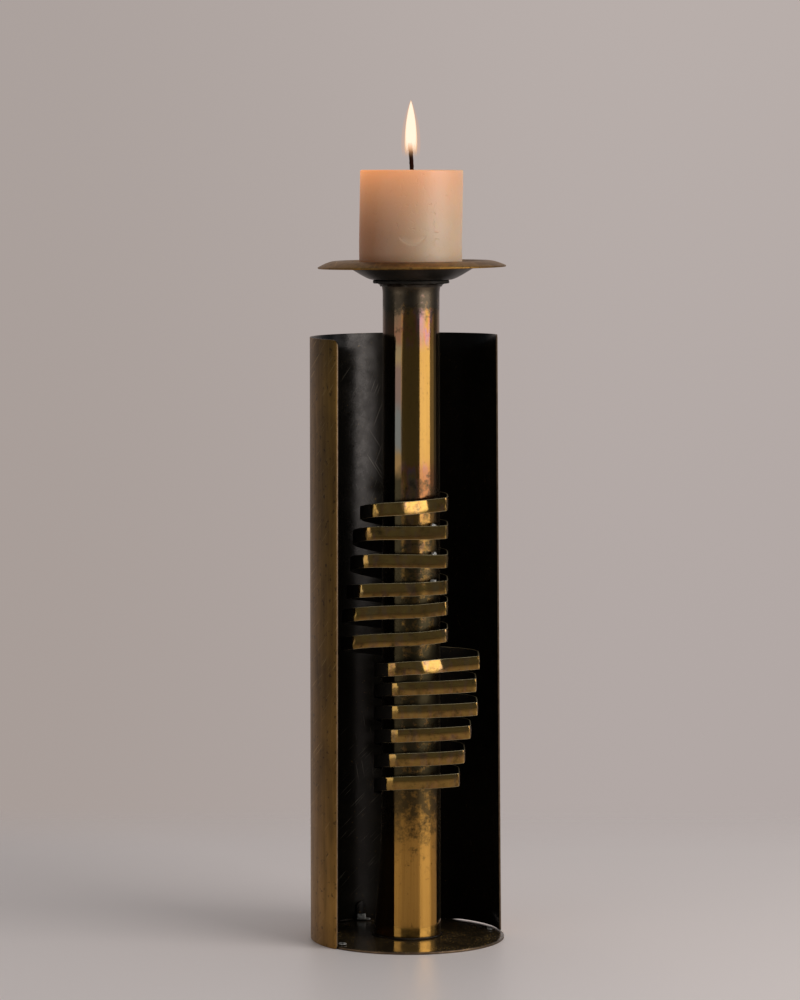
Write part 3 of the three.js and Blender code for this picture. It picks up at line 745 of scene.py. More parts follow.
    # Dull brass is brown, lighter at the tube's foot where the table's reflection is painted, and grey with
    # flux near the collar
    worn_off = add_node(tree, "ShaderNodeMix", {
        "Factor": rubbed.outputs["Result"], "A": linear("332c1d"), "B": linear("5a4322"),
    }, data_type="RGBA")
    fluxed = add_node(tree, "ShaderNodeMapRange", {"Value": height, "From Min": 0.3, "From Max": 0.312})
    dull_colour = add_node(tree, "ShaderNodeMix", {
        "Factor": fluxed.outputs["Result"], "A": worn_off.outputs["Result"], "B": linear("40372c"),
    }, data_type="RGBA")
    tinted = add_node(tree, "ShaderNodeMix", {
        "Factor": dull.outputs["Result"], "A": burnt.outputs["Result"], "B": dull_colour.outputs["Result"],
    }, data_type="RGBA")
    colour = add_node(tree, "ShaderNodeMix", {
        "Factor": spots.outputs["Result"], "A": tinted.outputs["Result"], "B": linear("2c2010"),
    }, data_type="RGBA")
    rough = add_node(tree, "ShaderNodeMapRange", {
        "Value": raised.outputs["Value"], "From Min": -0.1, "From Max": 0.2, "To Min": 0.11, "To Max": 0.36,
    })
    slow = add_node(tree, "ShaderNodeBump", {
        "Height": waves.outputs["Fac"], "Strength": 0.5, "Distance": 0.3 * MM,
    })
    fine = add_node(tree, "ShaderNodeBump", {
        "Height": lines.outputs["Fac"], "Strength": 0.15, "Distance": 0.04 * MM,
        "Normal": slow.outputs["Normal"],
    })
    shader = add_node(tree, "ShaderNodeBsdfPrincipled", {
        "Base Color": colour.outputs["Result"],
        "Roughness": rough.outputs["Result"],
        "Metallic": 1.0,
        "Sheen Weight": 0.12,
        "Sheen Roughness": 0.4,
        "Sheen Tint": linear("d8bc98"),
        "Normal": fine.outputs["Normal"],
    })
    tree.links.new(shader.outputs["BSDF"], output.inputs["Surface"])
    return material


stem_heights = [STEM_FOOT + SPLAY_HEIGHT * (i / 12) ** 1.5 for i in range(13)]
stem_heights += [75 + 30 * i for i in range(9)]
stem_heights += [STEM_TOP - STEM_FLARE_HEIGHT + STEM_FLARE_HEIGHT * i / 6 for i in range(7)]
stem_rings = [(stem_radius(z), z) for z in stem_heights]
stem = turned("stem_tube_sheet", stem_rings, STEM_AXIS, sides=192, closed=False)
if stem.data.polygons[0].normal.dot(stem.data.polygons[0].center) < 0:
    stem.data.flip_normals()
shape_with(stem, "SOLIDIFY", thickness=STEM_WALL * MM, offset=-1)
splay(stem)
break_edges(stem, 0.2 * MM)
smooth(stem)
stem.data.materials.append(worn_brass("worn brass tube", tube=True))
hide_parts("stem_tube")
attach(stem, "holder")

# Wound strip
# One flat strip of brass, 6.5 by 0.9 mm, wound round the stem on edge in twelve turns: the first six
# are pulled out to the left and the last six to the right. Drops of solder hold it to the stem.

STRIP_WIDTH = 6.5
STRIP_THICKNESS = 0.9
STRIP_DOME = 0.17
STRIP_TOP = 218.1
STRIP_SIDE_GAP = 2.5
STRIP_FRONT_GAP = 1
STRIP_SQUARE_POWER = 2.4
FRONT_BULGE = 1.8
# For each turn: how far in from its left end the front begins, and the width and the slope in degrees
# of the flat that starts it
LEFT_FLATS = [
    (5.6, 2.75, 22), (6.0, 2.9, 11.5), (6.5, 2.2, 10.8), (5.9, 1.95, 9), (5.6, 1.2, 7), (5.8, 0.8, 5),
    (6.7, 3.4, 17), (8.6, 2.6, 17), (8.6, 2.6, 17), (8.1, 3.4, 17), (7.3, 2.9, 17), (5.7, 3.1, 17),
]
# The radius at the right end of each turn, past a crease, in mm
RIGHT_BENDS = [4.5, 4.5, 4.5, 4.5, 4.5, 4.5, 0.7, 1.5, 1.5, 2.8, 2.8, 2.8]
LEG_SLOPE = 38
CREASE_SLOPE = 50
STRIP_TAIL = 172
# For each turn: the fall along its front, the drop round its back, and how far it swings out, in mm
TURNS = [
    (2.5, 11.1, 6.9), (0.4, 13.9, 10.4), (-0.7, 13.3, 11.7), (1.3, 8.9, 13.4),
    (2.5, 10.7, 15.6), (3.0, 10.4, 16.3), (3.2, 7.8, 15.2), (2.4, 9.2, 13.8),
    (1.9, 9.5, 14.4), (2.2, 9.8, 11.2), (2.0, 9.4, 8.3), (1.9, 11.5, 5.8),
]
TURNS_TO_THE_LEFT = 6
# Turns knocked out of flat in front: from and to, measured across, how far left of it stands forward,
# and how many degrees the strip leans back there
BENDS = {0: (-8, 10.5, 5.6, 3), 3: (3, 9, 0.9, 0), 6: (2, 18, 4.4, 6)}
FRONT_START = -60
FRONT_END = 50
BACK_END = 190
BACK_SHARE = 0.88
EASE_REACH = 24
EASE_SAMPLES = 9
LAST_ANGLE = 360 * (len(TURNS) - 1) + STRIP_TAIL
STEPS_PER_TURN = 1440
ROUTE_STEP = 0.9 * MM
CORNER_STEP = 0.25 * MM
CORNER_TURN = math.radians(6)


def raw_strip_height(angle):
    """Height of the strip's upper edge at a winding angle: 0 at the front, growing to the left."""
    turn = max(0, math.floor((angle - FRONT_START) / 360))
    height = STRIP_TOP - sum(fall + drop for fall, drop, swing in TURNS[:turn])
    fall, drop, swing = TURNS[turn]
    local = angle - 360 * turn
    slow_drop = (1 - BACK_SHARE) * drop
    slow_stretch = 360 + FRONT_START - BACK_END
    if local < FRONT_START:
        return height + slow_drop * (FRONT_START - local) / slow_stretch
    if local < FRONT_END:
        return height - fall * (local - FRONT_START) / (FRONT_END - FRONT_START)
    if local < BACK_END:
        return height - fall - BACK_SHARE * drop * (local - FRONT_END) / (BACK_END - FRONT_END)
    return height - fall - drop + slow_drop * (360 + FRONT_START - local) / slow_stretch


def strip_height(angle):
    """Height of the strip's middle, with the changes of slope eased over a short stretch."""
    shifts = [EASE_REACH * (2 * i / (EASE_SAMPLES - 1) - 1) for i in range(EASE_SAMPLES)]
    heights = [raw_strip_height(min(angle + shift, LAST_ANGLE)) for shift in shifts]
    return sum(heights) / len(heights) - STRIP_WIDTH / 2


def arc_drop(run, radius, slope):
    """How far an arc falls back over a run across the front, from where it has a slope in degrees."""
    tilt = math.radians(slope)
    return radius * (math.cos(tilt) - math.sqrt(max(0, 1 - (math.sin(tilt) + run / radius) ** 2)))


def strip_plan(angle):
    """Middle of the strip in plan, and its lean: an oval behind the stem, a nearly flat front, one end
    swung out."""
    turn = math.floor((angle + 180) / 360)
    swing = TURNS[min(turn, len(TURNS) - 1)][2]
    to_left = math.sin(math.radians(angle))
    to_front = math.cos(math.radians(angle))
    free = (turn < TURNS_TO_THE_LEFT) == (to_left > 0)
    reach = STEM_FOOT_RADIUS + STRIP_SIDE_GAP + STRIP_THICKNESS / 2 + (swing if free else 0)
    half_depth = STEM_FOOT_RADIUS + STRIP_FRONT_GAP + STRIP_THICKNESS / 2
    share = abs(to_left) ** (2 / STRIP_SQUARE_POWER)
    x = -math.copysign(reach * share, to_left)
    if to_front < 0:
        return x, half_depth * (1 - share**STRIP_SQUARE_POWER) ** (1 / STRIP_SQUARE_POWER), 0
    y = -half_depth - FRONT_BULGE * (1 - share * share)
    inward = reach - abs(x)
    number = min(turn, len(TURNS) - 1)
    if to_left > 0:
        front, wide, slope = LEFT_FLATS[number]
        y += min(wide, max(0, front + wide - inward)) * math.tan(math.radians(slope))
        leg_radius = front / (1 - math.sin(math.radians(LEG_SLOPE)))
        whole = arc_drop(front, leg_radius, LEG_SLOPE)
        y += arc_drop(max(0, front - inward), leg_radius, LEG_SLOPE) * min(1, (-y - 1) / whole)
    else:
        radius = RIGHT_BENDS[number]
        crease = radius * (1 - math.sin(math.radians(CREASE_SLOPE)))
        y += arc_drop(max(0, crease - inward), radius, CREASE_SLOPE)
    y = min(y, 0)
    lean = 0
    if turn in BENDS:
        start, end, push, most = BENDS[turn]
        ease = min(1, max(0, (x - start) / (end - start)))
        y -= push * (1 - ease * ease * (3 - 2 * ease)) * min(1, 3 * max(0, to_front))
        lean = math.radians(most) * 4 * ease * (1 - ease)
    return x, y, lean


def poly_curve(name, points, cyclic=False, leans=None):
    """A curve of straight segments through points in metres."""
    curve = bpy.data.curves.new(name, "CURVE")
    curve.dimensions = "3D"
    spline = curve.splines.new("POLY")
    spline.points.add(len(points) - 1)
    for place, point, lean in zip(spline.points, points, leans or [0] * len(points)):
        place.co = (*point, 1)
        place.tilt = lean
    spline.use_cyclic_u = cyclic
    curve_object = bpy.data.objects.new(name, curve)
    bpy.context.collection.objects.link(curve_object)
    return curve_object


def join_and_turn_out(piece, reach=0.01 * MM):
    """Joins points of a piece that lie within reach of each other and turns its faces outwards."""
    work_on(piece)
    bpy.ops.object.mode_set(mode="EDIT")
    bpy.ops.mesh.select_all(action="SELECT")
    bpy.ops.mesh.remove_doubles(threshold=reach)
    bpy.ops.mesh.normals_make_consistent(inside=False)
    bpy.ops.object.mode_set(mode="OBJECT")


strip_steps = round((LAST_ANGLE + STRIP_TAIL) / 360 * STEPS_PER_TURN)
strip_route = []
strip_leans = []
route_length = [0.0]
for i in range(strip_steps + 1):
    angle = -STRIP_TAIL + (LAST_ANGLE + STRIP_TAIL) * i / strip_steps
    x, y, lean = strip_plan(angle)
    place = Vector((STEM_AXIS + x, y, strip_height(angle))) * MM
    if strip_route:
        step = (place - strip_route[-1]).length
        bent = len(strip_route) > 1 and (place - strip_route[-1]).angle(strip_route[-1] - strip_route[-2], 0)
        if step < (ROUTE_STEP if bent < CORNER_TURN else CORNER_STEP) and i < strip_steps:
            continue
        route_length.append(route_length[-1] + step)
    strip_route.append(place)
    strip_leans.append(lean)
strip = poly_curve("strip_winding", strip_route, leans=strip_leans)
# The strip's section: two slightly domed faces between rounded edges
strip_section = []
for side in (1, -1):
    for share in (-0.92, -0.75, -0.5, -0.25, 0, 0.25, 0.5, 0.75, 0.92):
        half = STRIP_THICKNESS / 2 - STRIP_DOME * share * share
        strip_section.append((side * half * MM, side * share * STRIP_WIDTH / 2 * MM, 0))
    for half, share in ((0.25, 0.955), (0.18, 0.985), (0.07, 1), (-0.07, 1), (-0.18, 0.985), (-0.25, 0.955)):
        strip_section.append((side * half * MM, side * share * STRIP_WIDTH / 2 * MM, 0))
section = poly_curve("strip_section", strip_section, cyclic=True)
strip.data.twist_mode = "Z_UP"
strip.data.bevel_mode = "OBJECT"
strip.data.bevel_object = section
strip.data.use_fill_caps = True
work_on(strip)
bpy.ops.object.convert(target="MESH")
strip = bpy.context.object
bpy.data.objects.remove(section)
along = strip.data.attributes.new("along", "FLOAT", "POINT")
for i, vertex in enumerate(strip.data.vertices):
    along.data[i].value = route_length[min(i // len(strip_section), len(route_length) - 1)]
join_and_turn_out(strip, 1e-6)
smooth(strip, 14)
strip.data.materials.append(worn_brass(
    "worn brass strip", tarnish=0.38, along="along", tones=("8a6c36", "a08044"),
))
# Its top and bottom edges are rubbed bare, and painted pale as a highlight of the light from above
give_edges(
    strip, bare_edge("rubbed strip edge with painted highlight", "9c8a68", "efdfb4"), lambda centre, normal: abs(normal.z) > 0.5,
)
# Only the outer side of its front was ever polished. Its legs and inner side are near black: tarnish, with
# painted shade for the dark lining they face and mirror. The legs face the left, or lie behind this line
LEG_FACING = -0.6
LEG_LINE = -12.5 * MM
strip.data.materials.append(blackened_brass(
    "tarnished strip inside in painted shade", bare_amount=0.3, gloss=(0.5, 0.6), shine=0.2,
))
for face in strip.data.polygons:
    outward = Vector((face.center.x - STEM_AXIS * MM, face.center.y, 0))
    leg = face.center.x < 0 and (face.normal.x < LEG_FACING or face.center.y > LEG_LINE)
    if leg or (abs(face.normal.z) <= 0.5 and face.normal.dot(outward) < 0):
        face.material_index = 2
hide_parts("wound_strip")
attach(strip, "holder")

# Collar
# A small disc of 1.4 mm brass soldered over the end of the stem, blackened, with a rough edge.

COLLAR_RADIUS = 18.5
COLLAR_FOOT = 321.4
COLLAR_TOP = 322.8
SHANK_HOLE = 2.3
RAG_ACROSS = 0.018
RAG_UP = 0.3 * MM

collar = turned("collar_disc", [
    (SHANK_HOLE, COLLAR_FOOT), (COLLAR_RADIUS, COLLAR_FOOT), (COLLAR_RADIUS, COLLAR_TOP),
    (SHANK_HOLE, COLLAR_TOP), (SHANK_HOLE, COLLAR_FOOT + 0.001),
], STEM_AXIS, closed=False)
join_and_turn_out(collar)
break_edges(collar, 0.3 * MM)
for vertex in collar.data.vertices:
    ragged = noise.noise(vertex.co / (2.2 * MM)) + 0.6 * noise.noise(vertex.co / (0.8 * MM))
    vertex.co.x *= 1 + RAG_ACROSS * ragged
    vertex.co.y *= 1 + RAG_ACROSS * ragged
    vertex.co.z += RAG_UP * noise.noise(vertex.co / (1.3 * MM))
smooth(collar)
collar.data.materials.append(blackened_brass(
    "sooty brass collar", bare_amount=0.3, gloss=(0.5, 0.7), shine=0.2,
))
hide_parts("collar")
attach(collar, "holder")

# Drip pan
# A dish spun from 0.8 mm brass: a flat floor, a wall that rises to a soft ridge, and a thin brim that
# falls away from it. The brim was knocked up a little at the right. It is brown with age.

PAN_FOOT = 323.1
PAN_SHEET = 0.8
PAN_RADIUS = 45.8
PAN_FLOOR_RADIUS = 19
PAN_RIDGE_RADIUS = 37.5
PAN_RIDGE_HEIGHT = 8.4
PAN_BRIM_DROP = 2.7
PAN_WALL_EASE = 4
PAN_RIDGE_EASE = 5
PAN_BRIM_EASE = 3
PAN_TILT = 0.6
# It is also a little out of round
PAN_SHIFT = 0.4
PAN_SQUEEZE = 0.006


def curve_points(points, steps):
    """Points along a Bezier curve of any degree, without its first one."""
    made = []
    for i in range(1, steps + 1):
        share = i / steps
        row = [Vector(point) for point in points]
        while len(row) > 1:
            row = [a.lerp(b, share) for a, b in zip(row, row[1:])]
        made.append(tuple(row[0]))
    return made


pan_line = [(SHANK_HOLE, 0), (8, 0), (14, 0), (PAN_FLOOR_RADIUS, 0)]
pan_line += curve_points([
    (PAN_FLOOR_RADIUS, 0), (PAN_FLOOR_RADIUS + PAN_WALL_EASE, 0),
    (PAN_RIDGE_RADIUS - PAN_RIDGE_EASE, PAN_RIDGE_HEIGHT), (PAN_RIDGE_RADIUS, PAN_RIDGE_HEIGHT),
], 14)
pan_line += curve_points([
    (PAN_RIDGE_RADIUS, PAN_RIDGE_HEIGHT), (PAN_RIDGE_RADIUS + PAN_BRIM_EASE, PAN_RIDGE_HEIGHT),
    (PAN_RADIUS, PAN_RIDGE_HEIGHT - PAN_BRIM_DROP),
], 8)
pan = turned("spun_pan", [(r, PAN_FOOT + h) for r, h in pan_line], STEM_AXIS, sides=160, closed=False)
work_on(pan)
bpy.ops.object.mode_set(mode="EDIT")
bpy.ops.mesh.select_all(action="SELECT")
bpy.ops.mesh.normals_make_consistent(inside=False)
bpy.ops.object.mode_set(mode="OBJECT")
if sum(face.normal.z for face in pan.data.polygons) < 0:
    pan.data.flip_normals()
for vertex in pan.data.vertices:
    x = vertex.co.x / MM - STEM_AXIS
    reach = math.hypot(x, vertex.co.y / MM) / PAN_RADIUS
    vertex.co.z += PAN_TILT * (x / PAN_RADIUS) * reach**4 * MM
    vertex.co.x += (PAN_SHIFT - PAN_SQUEEZE * x) * min(1, reach) * MM
pan.data.materials.append(aged_brass("aged brown brass pan", streak_length=3, gold=0.7))
pan.data.materials.append(blackened_brass("sooty brass underside", bare_amount=0.3, gloss=(0.3, 0.5)))
shape_with(pan, "SOLIDIFY", thickness=PAN_SHEET * MM, offset=1, material_offset=1)
break_edges(pan, 0.2 * MM)
smooth(pan)
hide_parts("drip_pan")
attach(pan, "holder")

# Pricket
# A turned brass spike with a flange, its shank riveted through the pan and the collar. It holds the
# candle, and shows only when the candle is lifted off.

pricket_low, pricket_high = (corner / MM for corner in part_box("pricket"))
FLANGE_FOOT = 324.2
FLANGE_THICKNESS = 1.2
FLANGE_RADIUS = 7
SPIKE_RADIUS = 2.3
RIVET_RADIUS = 3.6
RIVET_THICKNESS = 1.2
SHANK_RADIUS = 2

spike_foot = FLANGE_FOOT + FLANGE_THICKNESS
pricket_rings = [
    (RIVET_RADIUS - 0.5, pricket_low.z), (RIVET_RADIUS, pricket_low.z + 0.4),
    (RIVET_RADIUS, pricket_low.z + RIVET_THICKNESS), (SHANK_RADIUS, pricket_low.z + RIVET_THICKNESS),
    (SHANK_RADIUS, FLANGE_FOOT), (FLANGE_RADIUS, FLANGE_FOOT), (FLANGE_RADIUS, spike_foot - 0.3),
    (FLANGE_RADIUS - 0.4, spike_foot), (SPIKE_RADIUS + 0.3, spike_foot), (SPIKE_RADIUS, spike_foot + 0.5),
]
for share in (0.25, 0.5, 0.75, 0.93, 1):
    height = spike_foot + 0.5 + (pricket_high.z - spike_foot - 0.5) * share
    pricket_rings.append((SPIKE_RADIUS + (0.3 - SPIKE_RADIUS) * share, height))
pricket = turned("pricket_spike", pricket_rings, STEM_AXIS, sides=48)
smooth(pricket, 40)
pricket.data.materials.append(worn_brass("worn brass pricket", tarnish=0.7))
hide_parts("pricket")
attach(pricket, "holder")

# Solder
# Soft solder, run in by hand and left as it froze: fillets round the stem and under the collar, a short
# seam and drops on the plate, and drops that tack the strip to the stem.

POOL_NODES = ["solder_left_edge", "solder_beside_tab", "solder_rear_drop", "solder_right_edge"]
TACK_NODES = [f"solder_strip_{i}" for i in range(1, 6)]
OTHER_NODES = ["solder_tab", "solder_rear_seam"]
FILLET_LEG = 1.3
FOOT_LEG = 0.6
SOLDER_GAP = 0.3


def soft_solder(name, dark_code="5a544c", light_code="d0cbc2", clean=0.46):
    """Tin and lead solder, dull grey with brighter frozen ripples and brown flux stains."""
    material, tree, output = new_material(name)
    place = add_node(tree, "ShaderNodeTexCoord").outputs["Object"]
    ripples = add_node(tree, "ShaderNodeTexNoise", {"Vector": place, "Scale": 1 / (0.8 * MM), "Detail": 4})
    stains = add_node(tree, "ShaderNodeTexNoise", {"Vector": place, "Scale": 1 / (2.5 * MM), "Detail": 3})
    grey = add_node(tree, "ShaderNodeMix", {
        "Factor": ripples.outputs["Fac"], "A": linear(dark_code), "B": linear(light_code),
    }, data_type="RGBA")
    stained = add_node(tree, "ShaderNodeMapRange", {
        "Value": stains.outputs["Fac"], "From Min": clean, "From Max": clean + 0.14,
    })
    colour = add_node(tree, "ShaderNodeMix", {
        "Factor": stained.outputs["Result"], "A": grey.outputs["Result"], "B": linear("2a2118"),
    }, data_type="RGBA")
    relief = add_node(tree, "ShaderNodeBump", {
        "Height": ripples.outputs["Fac"], "Strength": 0.6, "Distance": 0.2 * MM,
    })
    shader = add_node(tree, "ShaderNodeBsdfPrincipled", {
        "Base Color": colour.outputs["Result"], "Roughness": 0.4, "Metallic": 0.7,
        "Normal": relief.outputs["Normal"],
    })
    tree.links.new(shader.outputs["BSDF"], output.inputs["Surface"])
    return material


def roughen(piece, reach, grain):
    """Moves a piece's surface in and out by noise, as solder freezes."""
    normals = [vertex.normal.copy() for vertex in piece.data.vertices]
    for vertex, normal in zip(piece.data.vertices, normals):
        vertex.co += normal * noise.noise(vertex.co / grain) * reach


solder = soft_solder("soft solder", "6c665e", "e2ddd4", clean=0.58)
fluxed_solder = soft_solder("fluxed dark solder", "1c1813", "5c564c", clean=0.36)
# The seam lies in the corner between plate and shield: its middle and half its length in degrees
SEAM_MIDDLE = -137.5
SEAM_HALF_TURN = 5.5
SEAM_GRAIN = 1.2
SEAM_ROUGHNESS = 0.15
# The run at the tab's foot is broad and stands against it, and the drop beside it is nearer the front
RESHAPED = {
    "solder_tab": ((-0.95, -1.9, 1.05), (0.9, 0.45, 2.3), 0.4),
    "solder_beside_tab": ((-2.3, -4.0, 0), (1, 1, 1), 1),
}
for node in POOL_NODES + TACK_NODES + OTHER_NODES:
    low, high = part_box(node)
    bpy.ops.object.select_all(action="DESELECT")
    bpy.ops.mesh.primitive_ico_sphere_add(subdivisions=4, radius=1, location=(low + high) / 2)
    drop = bpy.context.object
    drop.name = node.replace("solder_", "") + "_solder"
    drop.scale = (high - low) / 2
    bpy.ops.object.transform_apply(location=True, rotation=True, scale=True)
    if node in RESHAPED:
        move, share, square = RESHAPED[node]
        middle = (low + high) / 2
        for vertex in drop.data.vertices:
            for axis in range(3):
                half = (high[axis] - low[axis]) / 2
                out = (vertex.co[axis] - middle[axis]) / half
                out = math.copysign(abs(out) ** square, out)
                vertex.co[axis] = middle[axis] + move[axis] * MM + out * half * share[axis]
    if node == "solder_rear_seam":
        middle, half = (low + high) / 2, (high - low) / 2
        for vertex in drop.data.vertices:
            along, out = ((vertex.co[axis] - middle[axis]) / half[axis] for axis in range(2))
            turn = math.radians(SEAM_MIDDLE + SEAM_HALF_TURN * along)
            radius = SHIELD_OUTSIDE - SHIELD_SHEET - (SOLDER_GAP + SEAM_ROUGHNESS) * MM - half.z * (1 - out)
            vertex.co.x, vertex.co.y = radius * math.sin(turn), -radius * math.cos(turn)
        roughen(drop, SEAM_ROUGHNESS * MM, SEAM_GRAIN * MM)
    else:
        size = (high - low).length
        roughen(drop, (0.06 if node in RESHAPED else 0.12) * size, 0.25 * size)
    for vertex in drop.data.vertices:
        vertex.co.z = max(vertex.co.z, low.z)
    smooth(drop, 60)
    drop.data.materials.append(fluxed_solder if node == "solder_rear_seam" else solder)
    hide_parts(node)
    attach(drop, "holder")

foot_inner = STEM_FOOT_RADIUS + SOLDER_GAP
collar_inner = STEM_TOP_RADIUS + STEM_FLARE + SOLDER_GAP
fillets = [
    ("solder_stem_foot", [
        (foot_inner, STEM_FOOT), (foot_inner + FOOT_LEG, STEM_FOOT), (foot_inner + 0.2, STEM_FOOT + 0.2),
        (foot_inner, STEM_FOOT + FOOT_LEG), (foot_inner, STEM_FOOT + 0.001),
    ]),
    ("solder_collar", [
        (collar_inner, STEM_TOP), (collar_inner + FILLET_LEG, STEM_TOP),
        (collar_inner + 0.45, STEM_TOP - 0.4),
        (collar_inner, STEM_TOP - FILLET_LEG), (collar_inner, STEM_TOP - 0.001),
    ]),
]
for node, rings in fillets:
    fillet = turned(node.replace("solder_", "") + "_solder", rings, STEM_AXIS, closed=False)
    join_and_turn_out(fillet)
    roughen(fillet, (0.15 if node == "solder_stem_foot" else 0.35) * MM, 2.2 * MM)
    if node == "solder_stem_foot":
        splay(fillet)
    smooth(fillet, 60)
    fillet.data.materials.append(fluxed_solder)
    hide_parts(node)
    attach(fillet, "holder")

# Candle
# A moulded pillar candle of tinted wax, 50 mm wide, pressed on to the pricket. Its top has melted into a
# shallow pool round the wick. The wax glows orange near the top with the flame's light, painted into its
# colour and a faint emission.

CANDLE_RADIUS = 25
candle_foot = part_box("candle")[0].z / MM
MELTED = 0.6
candle_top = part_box("candle")[1].z / MM - MELTED
POOL_RADIUS = 20
POOL_DEPTH = 1.6
CANDLE_ROUND = 0.9
CANDLE_CHAMFER = 0.6
SPIKE_HOLE_RADIUS = 2.6
WICK_RADIUS = 1.02
CANDLE_LEAN = 0.8
CANDLE_SHIFT = -0.5
DENT_PLACE = (1.8, 347.4)
DENT_RADIUS = 6.9
DENT_TOP = 345
GLOW_REACH = 12


